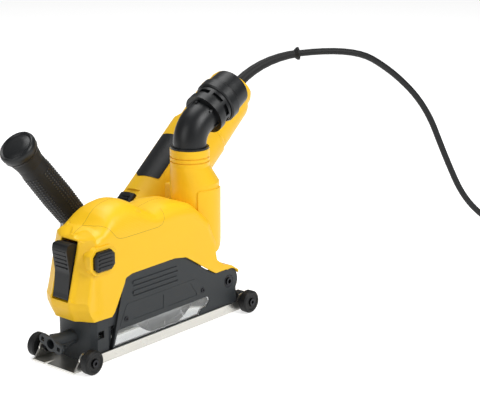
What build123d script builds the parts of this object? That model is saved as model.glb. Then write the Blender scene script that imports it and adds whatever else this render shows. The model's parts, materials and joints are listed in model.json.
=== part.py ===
from build123d import *
from math import cos, sin, tan, radians, degrees, pi, sqrt, atan2, acos
import os

# Wall chaser: a two-disc plunge cutter on a rolling shoe.
# Millimetres. Origin: centre of the shoe's underside. +X towards the motor's tail and the
# cord, +Y towards the motor, +Z up. "near" is the -Y side, "far" is the +Y side.

# ---------------------------------------------------------------- driving dimensions
GAP = 0.4                 # clearance between pieces of different bodies
SEAT = 0.2                # clearance where covers seat on each other
RUN = 0.06                # radial clearance of a shaft that turns in a hole

# shoe and rollers
SHOE_L = 294.0
SHOE_T = 2.0
SHOE_HALF = 32.4          # outer face of a side flange
FLANGE_H = 11.0
EAR_R = 8.5               # rounded ear round each roller bolt
WHEELBASE = 257.8
ROLLER_R = 13.4
ROLLER_W = 10.4
SHOE_LIFT = 2.5           # underside of the shoe above the ground
ROLLER_OUT = 47.2         # outer face of a roller
BOLT_R = 2.5
HEAD_R = 4.2
SLOT_X0, SLOT_X1, SLOT_HALF = -80.0, 100.0, 17.0

# discs and spindle
DISC_R = 62.5
DISC_T = 2.4
DISC_GAP = 20.0           # between the two discs
DISC_LIFT = 1.0           # lowest point of the discs above the shoe's underside
SPINDLE_X = 13.5
SPINDLE_Z = DISC_R + DISC_LIFT
SPINDLE_R = 7.0
FLANGE_R, FLANGE_T = 21.0, 5.6
NUT_T = 6.0

# side panels (standing on the shoe) and the plunge pivot
PANEL_OUT = SHOE_HALF - SHOE_T - SEAT
PANEL_T = 3.0
PIVOT_X, PIVOT_Z = 106.0, 39.4
PIVOT_R = 4.0
BOSS_R = 15.7

# shroud
SHROUD_HALF = 33.0
SHROUD_T = 2.4
EDGE_GAP = 0.8            # visible line between shroud and panels

# motor, gear case and side handle
MOTOR_Y = 70.0
MOTOR_TILT = 40.0
MOTOR_R = 36.6
MOTOR_T = 3.0
GEAR_END = 38.0           # end of the gear case along the motor axis
HOUSING_END = 200.0
TAIL_R = 33.0
TAIL_DROP = 2.0
TAIL_STEP = 264.0
TAIL_END = 284.0
TAIL_END_R = 28.0
CASE_R = 33.0
CASE_Y0, CASE_Y1 = 44.0, 101.0
GRIP_R = 16.7
GRIP_S0, GRIP_S1 = 50.0, 206.0
HANDLE_END = 218.0

# bevel pair
PINION_TEETH, CROWN_TEETH = 9, 34
CROWN_R = 21.0

# dust port
NECK_X, NECK_R, NECK_TOP, NECK_Z = 73.3, 22.8, 202.0, 182.0
FOOT_Z = NECK_TOP - 26     # lower end of the elbow in the neck
PORT_X, PORT_R, PORT_Z, PORT_BASE = 81.0, 28.6, 162.0, 80.0
PORT_T = 3.0
PORT_FLOOR = 8.0          # thickness of the port's closed bottom
ELBOW_R, ELBOW_T = 19.3, 2.4
BEND_R, BEND_TURN, BEND_Z = 30.0, 63.0, 206.0

# cord
CORD_D = 8.4
GROUND = -SHOE_LIFT
COIL_R = 46.0
COIL_COLUMNS, COIL_LAYERS = 3, 4

ROLLER_Z = ROLLER_R - SHOE_LIFT
AXLE_X = WHEELBASE / 2
PANEL_IN = PANEL_OUT - PANEL_T
SHROUD_IN = SHROUD_HALF - SHROUD_T


# ---------------------------------------------------------------- helpers
def outline(corners):
    """Closed face in local XY from (x, y, corner radius) corners."""
    points = [(x, y) for x, y, r in corners]
    return make_face(FilletPolyline(*points, radius=[r for x, y, r in corners], close=True))


def slab(face, y0, y1):
    """A face drawn in X and Z, made solid from y0 to y1."""
    return extrude(Plane.XZ.offset(-y1) * face, amount=y1 - y0)


def flat(face, z0, z1):
    """A face drawn in X and Y, made solid from z0 to z1."""
    return extrude(Plane.XY.offset(z0) * face, amount=z1 - z0)


def block(x0, x1, y0, y1, z0, z1):
    low = (Align.MIN, Align.MIN, Align.MIN)
    return Pos(x0, y0, z0) * Box(x1 - x0, y1 - y0, z1 - z0, align=low)


def rod_y(x, z, r, y0, y1):
    return slab(Pos(x, z) * Circle(r), y0, y1)


def ring_y(x, z, r_out, r_in, y0, y1):
    return slab(Pos(x, z) * (Circle(r_out) - Circle(r_in)), y0, y1)


def rod_z(x, y, r, z0, z1):
    return flat(Pos(x, y) * Circle(r), z0, z1)


def along(plane, r, t0, t1, r_in=0.0, r_end=None):
    """A round piece on the plane's normal, from t0 to t1; r_end makes a taper."""
    place = plane.offset(t0)
    if r_end is None:
        face = Circle(r) - Circle(r_in) if r_in else Circle(r)
        return extrude(place * face, amount=t1 - t0)
    return place * Cone(r, r_end, t1 - t0, align=(Align.CENTER, Align.CENTER, Align.MIN))


def turned(plane, profile):
    """Revolve (radius, distance) corners round the plane's normal."""
    axis_plane = Plane(plane.origin, x_dir=plane.x_dir, z_dir=-plane.y_dir)
    face = axis_plane * make_face(Polyline(*profile, close=True))
    return revolve(face, Axis(plane.origin, plane.z_dir))


def mirror_y(solid):
    return mirror(solid, about=Plane.XZ)


tilt = radians(MOTOR_TILT)
MOTOR_DIR = Vector(cos(tilt), 0, sin(tilt))
HANDLE_DIR = Vector(-sin(tilt), 0, cos(tilt))
APEX = Vector(SPINDLE_X, MOTOR_Y, SPINDLE_Z)
SHAFT = Plane(APEX, x_dir=(0, 1, 0), z_dir=MOTOR_DIR)
HANDLE = Plane(APEX, x_dir=(0, 1, 0), z_dir=HANDLE_DIR)
TAIL = Plane(APEX - HANDLE_DIR * TAIL_DROP, x_dir=(0, 1, 0), z_dir=MOTOR_DIR)


# ---------------------------------------------------------------- shoe, block and panels
def ear(x):
    """Side flange raised in a rounded ear round a roller bolt."""
    return slab(Pos(x, ROLLER_Z) * Circle(EAR_R), SHOE_HALF - SHOE_T, SHOE_HALF)


def make_shoe():
    half_l = SHOE_L / 2
    lean = 9.0
    plate = block(-half_l, half_l, -SHOE_HALF, SHOE_HALF, 0, SHOE_T)
    side = outline([(-half_l + 1, 0, 0), (half_l, 0, 2), (half_l - 3, FLANGE_H, 2),
                    (-half_l + lean, FLANGE_H, 2)])
    flange = slab(side, SHOE_HALF - SHOE_T, SHOE_HALF)
    flange += ear(-AXLE_X) + ear(AXLE_X)
    flange &= block(-half_l, half_l, 0, SHOE_HALF, 0, 2 * ROLLER_Z + 5)
    shoe = plate + flange + mirror_y(flange)
    for x in (-AXLE_X, AXLE_X):
        shoe -= rod_y(x, ROLLER_Z, BOLT_R + 0.1, -SHOE_HALF - 1, SHOE_HALF + 1)
    slot = Pos((SLOT_X0 + SLOT_X1) / 2, 0) * SlotOverall(SLOT_X1 - SLOT_X0, 2 * SLOT_HALF)
    shoe -= flat(slot, -1, SHOE_T + 1)
    sight_y = DISC_GAP / 2 + DISC_T / 2
    sight = outline([(-half_l - 1, sight_y - 2.6, 0), (-half_l + 13, sight_y - 0.6, 0.5),
                     (-half_l + 13, sight_y + 0.6, 0.5), (-half_l - 1, sight_y + 2.6, 0)])
    return shoe - flat(sight, -1, SHOE_T + 1)


BLOCK_HALF = 29.4
BLOCK_X0, BLOCK_X1 = -118.4, -91.2
BLOCK_TOP = 50.4
CHEEK_X, CHEEK_Y, CHEEK_TOP = -83.0, 22.8, 37.0      # cheeks behind the panels' front edges
CROWN_HALF, CROWN_DEEP = 24.0, 5.4
SOCKET_Z = 27.0
SOCKET_R = 8.5
SOCKET_END = -149.0
SOCKET_TILT = 15.0


def block_plan(back):
    """Plan of the front block, from its crowned front face to back."""
    side = BLOCK_X0 + CROWN_DEEP
    corner = side + BLOCK_HALF - CROWN_HALF
    crown = ThreePointArc((side, CROWN_HALF), (BLOCK_X0, 0), (side, -CROWN_HALF))
    rest = Polyline((side, -CROWN_HALF), (corner, -BLOCK_HALF), (back, -BLOCK_HALF),
                    (back, BLOCK_HALF), (corner, BLOCK_HALF), (side, CROWN_HALF))
    return make_face(crown + rest)


def make_front_block():
    """Grey front support: crowned front face, rounded lower rear corners, square windows."""
    body = flat(block_plan(BLOCK_X1), SHOE_T, BLOCK_TOP)
    side = outline([(BLOCK_X0 - 1, SHOE_T, 0), (BLOCK_X1, SHOE_T, 12), (BLOCK_X1, BLOCK_TOP, 3),
                    (BLOCK_X0 - 1, BLOCK_TOP, 3)])
    body &= slab(side, -40, 40)
    wall = 3.2
    body -= block(BLOCK_X0 + 9.5, BLOCK_X1 + 1, -BLOCK_HALF + wall, BLOCK_HALF - wall,
                  SHOE_T + 5, BLOCK_TOP + 1)
    window_x, window_z, half = -102.0, 31.0, 4.3
    hole = outline([(window_x - half, window_z - half, 1), (window_x + half, window_z - half, 1),
                    (window_x + half, window_z + half, 1), (window_x - half, window_z + half, 1)])
    body -= slab(hole, -40, 40)
    body -= block(BLOCK_X0, window_x, -40, -BLOCK_HALF + 1.2, window_z - half, window_z - half + 0.9)
    body -= block(BLOCK_X0, window_x, BLOCK_HALF - 1.2, 40, window_z - half, window_z - half + 0.9)
    for side in (-1, 1):
        body += block(BLOCK_X1 - 1, CHEEK_X, side * CHEEK_Y - 2, side * CHEEK_Y + 2, SHOE_T, CHEEK_TOP)
    return body - along(Plane((BLOCK_X0 - 5, 0, SOCKET_Z), z_dir=(1, 0, 0)), SOCKET_R - 3, 0, 12)


def make_guide_socket():
    """Horizontal socket on the block: a tube with two webs flaring to a dog-bone end plate."""
    mouth = Plane((SOCKET_END, 0, SOCKET_Z), x_dir=(0, cos(radians(SOCKET_TILT)),
                  sin(radians(SOCKET_TILT))), z_dir=(1, 0, 0))
    reach = BLOCK_X0 - SOCKET_END + 3.4
    tube = extrude(mouth * Circle(SOCKET_R), amount=reach)
    ends = Pos(-12.5, 0) * Circle(5.6) + Pos(12.5, 0) * Circle(5.6)
    plate_face = make_hull((Circle(6.6) + ends).edges())
    plate = extrude(mouth * (plate_face + Circle(SOCKET_R)), amount=3.2)
    web = make_face(Polyline((-17.0, 0), (17.0, 0), (8.0, reach - 1), (-8.0, reach - 1), close=True))
    web_plane = Plane(mouth.origin, x_dir=mouth.x_dir, z_dir=-mouth.y_dir)
    webs = extrude(web_plane * web, amount=1.4, both=True)
    body = tube + plate + webs
    keep = block(SOCKET_END, BLOCK_X0 + 6, -40, 40, 0, 70)
    body = (body & keep) - flat(block_plan(0), 0, 70)
    body -= extrude(mouth.offset(-1) * Circle(SOCKET_R - 3), amount=reach + 6)
    for side in (-1, 1):
        hole = mouth.offset(-1) * Pos(side * 12.5, 0) * Rectangle(4.6, 4.6)
        body -= extrude(hole, amount=12)
    return body


# top edge of a side panel, from front to rear, with the corner radii
PANEL_FRONT, PANEL_REAR = -88.4, 121.3
PANEL_TOP = [(-66.0, 87.0, 3), (-56.5, 89.6, 6), (11.0, 90.3, 10), (30.0, 87.0, 8),
             (80.0, 55.3, 10)]


def panel_face():
    low = SHOE_T
    body = outline([(PANEL_FRONT, low, 1)] + PANEL_TOP
                   + [(PIVOT_X - 8, 55.6, 3), (PIVOT_X + 12, 46.0, 2), (PANEL_REAR - 2.5, 22.0, 4),
                      (PANEL_REAR, low, 1)])
    return body + Pos(PIVOT_X, PIVOT_Z) * Circle(BOSS_R)


INSERT = [(-75.5, 31.6, 2), (-63.0, 56.2, 4), (48.4, 57.0, 4), (71.5, 32.6, 2)]
WINDOW = [(-84.0, FLANGE_H + 1, 1), (-77.5, 29.6, 1.5), (69.0, 30.4, 2), (72.5, 25.0, 2),
          (66.0, 18.5, 2), (58.0, 17.5, 2), (54.0, FLANGE_H + 1, 1)]
INSERT_FIELDS = [[(-56.0, 36.0, 2), (-51.0, 52.6, 2), (-5.0, 52.9, 2), (-5.0, 36.0, 2)],
                 [(0.0, 36.0, 2), (0.0, 52.9, 2), (40.0, 53.2, 2), (52.0, 36.4, 2)]]
INSERT_SCREWS = [(-64.4, 39.4), (60.5, 39.8)]
RIB_X0, RIB_X1 = -53.5, 18.5
RIB_Z = (78.0, 66.6)
RIB_H = 1.0                # height of the ribs over the panel


def grown(corners, d):
    return offset(outline(corners), d)


PLUNGE = 3.0              # degrees that the shroud swings down


def neck_path(r):
    """Room for a round piece on the blade axis as the shroud swings down."""
    a = radians(PLUNGE)
    dx, dz = SPINDLE_X - PIVOT_X, SPINDLE_Z - PIVOT_Z
    low = (PIVOT_X + dx * cos(a) - dz * sin(a), PIVOT_Z + dz * cos(a) + dx * sin(a))
    both = Pos(SPINDLE_X, SPINDLE_Z) * Circle(r) + Pos(*low) * Circle(r)
    return make_hull(both.edges())


def make_panel_plate():
    """Panel without its insert: plate, pivot boss and framed window opening."""
    y_out = -PANEL_OUT
    panel = slab(panel_face() - outline(WINDOW), y_out, y_out + PANEL_T)
    panel += ring_y(PIVOT_X, PIVOT_Z, BOSS_R - 4, PIVOT_R, y_out + PANEL_T, y_out + PANEL_T + 1.2)
    frame = offset(outline(WINDOW), 3.0, kind=Kind.INTERSECTION) - outline(WINDOW)
    panel += slab(frame & panel_face(), y_out + PANEL_T, y_out + PANEL_T + 2.0)
    panel -= rod_y(PIVOT_X, PIVOT_Z, PIVOT_R, y_out - 1, y_out + 9)
    return panel - rod_y(PIVOT_X, PIVOT_Z, 7.8, y_out - 1, y_out + 1.0)


def make_near_panel():
    """Near panel: two long ribs with grooves under them, and a recess for the insert."""
    y_out = -PANEL_OUT
    panel = make_panel_plate() - slab(grown(INSERT, 0.15), y_out - 1, y_out + 1.4)
    for z in RIB_Z:
        bar = Pos((RIB_X0 + RIB_X1) / 2, z) * SlotOverall(RIB_X1 - RIB_X0, 4.0)
        panel += slab(bar, y_out - RIB_H, y_out + 0.5)
        groove = Pos((RIB_X0 + RIB_X1) / 2, z - 3.4) * SlotOverall(RIB_X1 - RIB_X0, 1.6)
        panel -= slab(groove, y_out - 1, y_out + 0.9)
    for x, z in INSERT_SCREWS:
        panel -= rod_y(x, z, 1.5, y_out - 1, y_out + 9)
    return panel


def make_far_panel():
    """Far panel: plain, with a notch that the gear case's neck swings in."""
    r = NECK_COLLAR_R + 1.2
    notch = neck_path(r) + Pos(SPINDLE_X - 0.6, SPINDLE_Z + 30) * Rectangle(2 * r + 1.2, 60)
    return mirror_y(make_panel_plate()) - slab(notch, 20, 40)


def make_insert():
    y_out = -PANEL_OUT
    plate = slab(outline(INSERT), y_out - 0.2, y_out + 1.4)
    for field in INSERT_FIELDS:
        plate -= slab(outline(field), y_out - 1, y_out + 0.2)
    for x, z in INSERT_SCREWS:
        plate -= rod_y(x, z, 1.5, y_out - 2, y_out + 3)
        plate -= rod_y(x, z, 3.1, y_out - 2, y_out + 0.4)
    return plate


def make_insert_screws():
    y_out = -PANEL_OUT
    screws = []
    for x, z in INSERT_SCREWS:
        screw = rod_y(x, z, 2.9, y_out - 1.0, y_out + 0.4) + rod_y(x, z, 1.4, y_out, y_out + 3.6)
        socket = slab(Pos(x, z) * RegularPolygon(1.5, 6), y_out - 1.5, y_out - 0.1)
        screws.append(screw - socket)
    return screws


def make_window():
    """Clear strip behind the opening, with a raised field that fills it flush."""
    y_in = -PANEL_OUT + PANEL_T
    field = slab(grown(WINDOW, -0.3), -PANEL_OUT + 0.6, y_in + 0.2)
    return field + slab(grown(WINDOW, -0.3), y_in, y_in + 1.8)


def make_rear_bracket():
    side = outline([(PANEL_REAR + 1, SHOE_T, 1), (SHOE_L / 2 - 3, SHOE_T, 1),
                    (SHOE_L / 2 - 4, 14, 5), (AXLE_X + 4, 20.5, 5), (PANEL_REAR + 1, 20.5, 2)])
    bracket = slab(side, -(SHOE_HALF - SHOE_T) + SEAT, SHOE_HALF - SHOE_T - SEAT)
    bracket -= block(PANEL_REAR, SHOE_L / 2, -22, 22, SHOE_T + 3, 30)
    bracket += block(PANEL_REAR + 1, PANEL_REAR + 4, -22.5, 22.5, SHOE_T, 16)
    return bracket - rod_y(AXLE_X, ROLLER_Z, BOLT_R, -40, 40)


def roller_bolt(x, inner):
    """Shoulder bolt for the far side; inner is where its shank ends."""
    bolt = rod_y(x, ROLLER_Z, BOLT_R, inner, ROLLER_OUT - 1.5)
    bolt += ring_y(x, ROLLER_Z, HEAD_R + 0.8, BOLT_R, SHOE_HALF, ROLLER_OUT - ROLLER_W - GAP)
    bolt += rod_y(x, ROLLER_Z, HEAD_R, ROLLER_OUT - 1.5, ROLLER_OUT + 0.9)
    return bolt - slab(Pos(x, ROLLER_Z) * RegularPolygon(2.2, 6), ROLLER_OUT - 0.8, ROLLER_OUT + 2)


def make_roller_bolts():
    front = roller_bolt(-AXLE_X, SHOE_HALF - SHOE_T - 5)
    front += slab(Pos(-AXLE_X, ROLLER_Z) * RegularPolygon(4.6, 6), SHOE_HALF - SHOE_T - 4,
                  SHOE_HALF - SHOE_T)
    rear = roller_bolt(AXLE_X, 22.0)
    return [front, rear, mirror_y(front), mirror_y(rear)]


def make_roller(x):
    """Far-side roller: tyre with rounded edges and a stepped hub round the bolt head."""
    inner = ROLLER_OUT - ROLLER_W
    centre = Plane((x, 0, ROLLER_Z), x_dir=(1, 0, 0), z_dir=(0, 1, 0))
    bore = BOLT_R + RUN
    recess = HEAD_R + 0.6
    return turned(centre, [(bore, inner), (ROLLER_R - 1.4, inner), (ROLLER_R, inner + 1.4),
                           (ROLLER_R, ROLLER_OUT - 1.8), (ROLLER_R - 1.8, ROLLER_OUT),
                           (ROLLER_R - 3.6, ROLLER_OUT), (ROLLER_R - 4.4, ROLLER_OUT - 0.8),
                           (recess + 0.8, ROLLER_OUT - 0.8), (recess, ROLLER_OUT - 1.3),
                           (recess, ROLLER_OUT - 1.9), (bore, ROLLER_OUT - 1.9)])


LUG_Y0, LUG_Y1 = 20.0, 25.6


def make_pivot_pin():
    """Steel tube across both panels, with a washer and a socket screw at each end."""
    end = PANEL_OUT - 1.2
    return along(Plane((PIVOT_X, -end, PIVOT_Z), z_dir=(0, 1, 0)), PIVOT_R, 0, 2 * end, 2.6)


def pivot_screw():
    """Far-side pivot screw with its washer."""
    face = PANEL_OUT - 1.0
    screw = rod_y(PIVOT_X, PIVOT_Z, 7.4, face, face + 1.0)
    screw += rod_y(PIVOT_X, PIVOT_Z, 4.6, face + 1.0, face + 2.6)
    screw += rod_y(PIVOT_X, PIVOT_Z, 2.55, face - 16, face)
    return screw - slab(Pos(PIVOT_X, PIVOT_Z) * RegularPolygon(2.9, 6), face + 0.2, face + 4)


# ---------------------------------------------------------------- shroud
SHROUD = [(-124.0, 50.0, 1), (-132.6, 69.5, 3), (-133.2, 73.0, 0), (-116.0, 137.5, 20),
          (-111.5, 163.5, 20), (-86.0, 171.5, 34), (-46.0, 171.0, 34), (-15.5, 151.0, 9),
          (12.0, 156.5, 30), (46.0, 146.5, 35), (76.0, 122.0, 24), (87.5, 97.0, 0),
          (80.0, 86.5, 5), (82.5, 72.0, 7), (94.0, 63.5, 10), (108.0, 59.5, 10),
          (120.5, 51.0, 2), (120.5, 46.0, 0), (88.0, 46.0, 0), (78.0, 50.0, 0), (28.0, 80.0, 0),
          (10.0, 83.0, 0), (-58.0, 82.0, 0), (-67.0, 84.5, 1), (-84.0, 53.5, 5), (-88.5, 49.0, 1)]
MOUTH = [(-119.4, 40.0, 0), (-119.4, 53.4, 0), (-89.8, 53.4, 0), (-86.5, 55.0, 0), (-71.5, 84.0, 0),
         (-58.0, 86.0, 0), (11.0, 86.0, 0), (29.0, 83.0, 0), (79.0, 52.5, 0), (90.0, 49.5, 0),
         (118.0, 49.5, 0), (118.0, 40.0, 0)]
LEAN_LOW, LEAN_HIGH = Vector(-133.2, 0, 73.0), Vector(-116.0, 0, 137.5)
CHIN_LOW, CHIN_HIGH = Vector(-124.0, 0, 50.0), Vector(-132.6, 0, 69.5)
FACET_IN, FACET_DEEP = 18.5, 9.0      # corner facet: across the front and along the side
CROWN_FILLET = 14.0
LEVER_HALF = 12.6
SLOT_Z0, SLOT_Z1 = 72.0, 136.5
LEVER_PIVOT = (-125.0, SLOT_Z0 + 5)
BUTTON_X, BUTTON_Z = -101.5, 116.3
BUTTON_W, BUTTON_H = 29.0, 22.0
POSTS = [(-97.0, 152.0), (-40.0, 158.0), (-78.0, 98.0), (36.0, 139.0)]
POST_R = 4.2


def facet(low, high, inset, stretch):
    """Prism that bevels the far front corner of the shroud along a leaning front edge."""
    way = (high - low).normalized()
    base = Plane(low - way * stretch, x_dir=(0, 1, 0), z_dir=way)
    across, deep = SHROUD_HALF - FACET_IN, FACET_DEEP
    shift = -inset
    corner = make_face(Polyline((across - 30, 30 * deep / FACET_IN + shift),
                                (SHROUD_HALF + 20, -deep - 20 * deep / FACET_IN + shift),
                                (SHROUD_HALF + 20, 60), (across - 30, 60), close=True))
    return extrude(base * corner, amount=(high - low).length + stretch + 60)


def shroud_form(inset):
    """Outer form of both halves, or the cavity when inset by the wall."""
    face = outline(SHROUD)
    half = SHROUD_HALF - inset
    if inset:
        face = offset(face, -inset, kind=Kind.INTERSECTION)
    body = slab(face, -half, half)
    crown = [e for e in body.edges()
             if abs(abs(e.center().Y) - half) < 0.05 and e.bounding_box().size.Y < 0.1
             and e.center().Z > 95 and e.center().X < 86]
    body = fillet(crown, CROWN_FILLET - inset)
    if inset:
        body += slab(outline(MOUTH), -half, half)
    for low, high, stretch in ((LEAN_LOW, LEAN_HIGH, 0.0), (CHIN_LOW, CHIN_HIGH, 20.0)):
        prism = facet(low, high, inset, stretch)
        if low.Z < LEAN_LOW.Z:
            prism &= block(-200, 0, -80, 80, 0, LEAN_LOW.Z)
        else:
            prism &= block(-200, 0, -80, 80, LEAN_LOW.Z - 4, 200)
        body -= prism
        body -= mirror_y(prism)
    return body


def octagon(w, h, cut):
    return make_face(Polyline((-w / 2 + cut, -h / 2), (w / 2 - cut, -h / 2), (w / 2, -h / 2 + cut),
                              (w / 2, h / 2 - cut), (w / 2 - cut, h / 2), (-w / 2 + cut, h / 2),
                              (-w / 2, h / 2 - cut), (-w / 2, -h / 2 + cut), close=True))


def make_shroud_pair():
    """Both halves of the yellow shroud, split on the blade plane."""
    outer = shroud_form(0.0)
    shell = outer - shroud_form(SHROUD_T)
    # lugs inside the panels, down to the pivot
    lug_face = outline([(84.0, 62.0, 0), (114.0, 56.0, 0), (113.0, 42.0, 3), (104.0, 31.0, 6),
                        (92.0, 46.0, 6), (80.0, 56.0, 0)]) + Pos(PIVOT_X, PIVOT_Z) * Circle(8.6)
    roof = outline([(70, 48, 0), (140, 48, 0), (140, 80, 0), (70, 80, 0)])
    for y0, y1 in ((-LUG_Y1, -LUG_Y0), (LUG_Y0, LUG_Y1)):
        lug = slab(lug_face, y0, y1)
        shell += (lug & outer) + (lug - slab(roof, -40, 40))
    # walls of the lever slot, screw posts and the button's raised frame
    walls = block(-140, -112, -LEVER_HALF - 2.2, LEVER_HALF + 2.2, SLOT_Z0 - 2.2, SLOT_Z1 + 2.2) & outer
    for x, z in POSTS:
        walls += rod_y(x, z, POST_R, -SHROUD_IN - 0.5, SHROUD_IN + 0.5)
    frame = Pos(BUTTON_X, BUTTON_Z) * octagon(BUTTON_W + 9, BUTTON_H + 9, 8)
    walls += slab(frame, -SHROUD_HALF - 2.0, -SHROUD_HALF + 4)
    guide = Pos(BUTTON_X, BUTTON_Z) * octagon(BUTTON_W + 4, BUTTON_H + 4, 6)
    walls += slab(guide, -SHROUD_HALF, -SHROUD_HALF + 11.4)
    shell += walls
    shell -= block(-140, -110, -LEVER_HALF, LEVER_HALF, SLOT_Z0, SLOT_Z1)
    hole = Pos(BUTTON_X, BUTTON_Z) * octagon(BUTTON_W + 0.8, BUTTON_H + 0.8, 5.2)
    shell -= slab(hole, -SHROUD_HALF - 4, -SHROUD_HALF + 9.2)
    # clear of the panels, the gear case's neck and the dust port
    panel_zone = offset(panel_face(), EDGE_GAP)
    for y0, y1 in ((-SHROUD_HALF - 1, -LUG_Y1), (LUG_Y1, SHROUD_HALF + 1)):
        shell -= slab(panel_zone, y0, y1)
    shell -= rod_y(SPINDLE_X, SPINDLE_Z, NECK_COLLAR_R + 0.3, 0, SHROUD_HALF + 1)
    shell -= rod_y(PIVOT_X, PIVOT_Z, PIVOT_R + RUN, -40, 40)
    shell -= port_bore(PORT_BASE - 1)
    for x, z in POSTS:
        shell -= rod_y(x, z, 1.6, -14, SHROUD_HALF + 1)
        shell -= rod_y(x, z, 3.2, SHROUD_HALF - 1.0, SHROUD_HALF + 2)
    shell -= rod_y(*LEVER_PIVOT, 1.5, -LEVER_HALF - 1.6, LEVER_HALF + 1.6)
    near = shell & block(-160, 140, -50, 0, 0, 200)
    far = shell & block(-160, 140, 0, 50, 0, 200)
    return near, far, outer


def make_shroud_screws():
    screws = []
    for x, z in POSTS:
        screw = rod_y(x, z, 1.5, -12, SHROUD_HALF - 1.0)
        screw += rod_y(x, z, 3.0, SHROUD_HALF - 1.0, SHROUD_HALF + 1.0)
        screws.append(screw - slab(Pos(x, z) * RegularPolygon(1.5, 6), SHROUD_HALF - 0.4, SHROUD_HALF + 2))
    return screws


def make_lever():
    """Release lever: curved blade in the front slot with a ribbed thumb pad at its top."""
    side = outline([(-133.0, SLOT_Z0 + 1.2, 2), (-120.5, SLOT_Z0 + 1.2, 3), (-117.5, 96.0, 10),
                    (-111.8, 132.5, 2), (-123.0, 134.8, 2), (-130.5, 134.2, 3), (-132.0, 128.0, 8),
                    (-128.6, 103.0, 14), (-131.6, 80.0, 6)])
    lever = slab(side, -LEVER_HALF + 1.2, LEVER_HALF - 1.2)
    for k in range(5):
        z = 108.0 + 4.6 * k
        x = -128.9 - (z - 103.0) * 0.10
        lever += along(Plane((x, -8.5, z), z_dir=(0, 1, 0)), 1.0, 0, 17)
    return lever - rod_y(LEVER_PIVOT[0], LEVER_PIVOT[1], 1.5 + RUN, -20, 20)


def make_lever_pin():
    return rod_y(LEVER_PIVOT[0], LEVER_PIVOT[1], 1.5, -LEVER_HALF - 1.5, LEVER_HALF + 1.5)


def make_button():
    """Octagonal side button with horizontal grip ribs and a skirt inside its frame."""
    face = Pos(BUTTON_X, BUTTON_Z) * octagon(BUTTON_W, BUTTON_H, 5)
    body = slab(face, -SHROUD_HALF - 6.5, -SHROUD_HALF + 6)
    rim = [e for e in body.edges() if abs(e.center().Y + SHROUD_HALF + 6.5) < 0.05]
    body = chamfer(rim, 1.6)
    for k in range(4):
        z = BUTTON_Z - 6.3 + 4.2 * k
        rib = Pos(BUTTON_X, z) * SlotOverall(BUTTON_W - 9, 2.0)
        body += slab(rib, -SHROUD_HALF - 7.4, -SHROUD_HALF - 6)
    return body - rod_y(BUTTON_X, BUTTON_Z, 6.0, -SHROUD_HALF - 3.2, -SHROUD_HALF + 8)


def coil_spring(plane, r, wire, turns, length):
    """Open helix of round wire on a plane's normal."""
    path = plane * Helix(pitch=length / turns, height=length, radius=r)
    start = Plane(path @ 0, z_dir=path % 0)
    return sweep(start * Circle(wire / 2), path=path)


def make_button_spring():
    base = Plane((BUTTON_X, -SHROUD_HALF + 8.7, BUTTON_Z), x_dir=(1, 0, 0), z_dir=(0, -1, 0))
    return coil_spring(base, 4.0, 0.9, 4, 6.4)


def make_plunge_spring():
    """Torsion spring round the pivot that holds the shroud up."""
    base = Plane((PIVOT_X, -9.0, PIVOT_Z), x_dir=(1, 0, 0), z_dir=(0, 1, 0))
    return coil_spring(base, PIVOT_R + 1.4, 2.0, 7, 18.0)


# ---------------------------------------------------------------- dust port and elbow
def port_bore(z0):
    return rod_z(PORT_X, 0, PORT_R - PORT_T, z0 + PORT_FLOOR, PORT_Z - 4)


def make_dust_tube(shroud_outer):
    """Dust port: offset neck with two grooves, a cone, a round body and a raised pad."""
    neck = rod_z(NECK_X, 0, NECK_R, NECK_Z, NECK_TOP)
    cone = loft([Plane.XY.offset(PORT_Z) * Pos(PORT_X, 0) * Circle(PORT_R),
                 Plane.XY.offset(NECK_Z) * Pos(NECK_X, 0) * Circle(NECK_R)])
    body = rod_z(PORT_X, 0, PORT_R, PORT_BASE, PORT_Z)
    rim = [e for e in body.edges() if abs(e.center().Z - PORT_BASE) < 0.05]
    body = fillet(rim, 14)
    half, low = 19.5, PORT_BASE + 0.5
    pad = outline([(PORT_X - half, low, half - 0.5), (PORT_X + half, low, half - 0.5),
                   (PORT_X + half, PORT_Z - 6, 3), (PORT_X - half, PORT_Z - 6, 3)])
    pad = slab(pad, -PORT_R - 2, -8) & rod_z(PORT_X, 0, PORT_R + 1.6, PORT_BASE, PORT_Z)
    tube = neck + cone + body + pad
    for z in (NECK_Z + 5.0, NECK_Z + 10.0):
        tube -= flat(Pos(NECK_X, 0) * (Circle(NECK_R + 1) - Circle(NECK_R - 1.2)), z, z + 1.5)
    bore_cone = loft([Plane.XY.offset(PORT_Z - 4) * Pos(PORT_X, 0) * Circle(PORT_R - PORT_T),
                      Plane.XY.offset(FOOT_Z - 1) * Pos(NECK_X, 0) * Circle(ELBOW_R + RUN)])
    tube -= bore_cone
    tube -= rod_z(NECK_X, 0, ELBOW_R + RUN, FOOT_Z - 1, NECK_TOP + 1)
    tube -= port_bore(PORT_BASE)
    tube -= shroud_outer
    solids = sorted(tube.solids(), key=lambda s: s.volume)
    return solids[-1]


def elbow_parts():
    """Planes along the elbow: foot of the bend and the outlet after it."""
    foot = Plane((NECK_X, 0, BEND_Z), x_dir=(1, 0, 0), z_dir=(0, 0, 1))
    turn = radians(BEND_TURN)
    end = (NECK_X + BEND_R * (1 - cos(turn)), 0, BEND_Z + BEND_R * sin(turn))
    outlet = Plane(end, x_dir=(0, 1, 0), z_dir=(sin(turn), 0, cos(turn)))
    return foot, outlet


def elbow_form(r):
    foot, outlet = elbow_parts()
    bend = revolve(foot * Circle(r), Axis((NECK_X + BEND_R, 0, BEND_Z), (0, 1, 0)), BEND_TURN)
    return bend, along(outlet, r, 0, SPIGOT_T), rod_z(NECK_X, 0, r, FOOT_Z, BEND_Z)


RING_T = (9.0, 17.0)
CAGE_T = 30.0
CLIPS, CAGE_SLOTS = 6, 8
SPIGOT_T = 37.6


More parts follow.
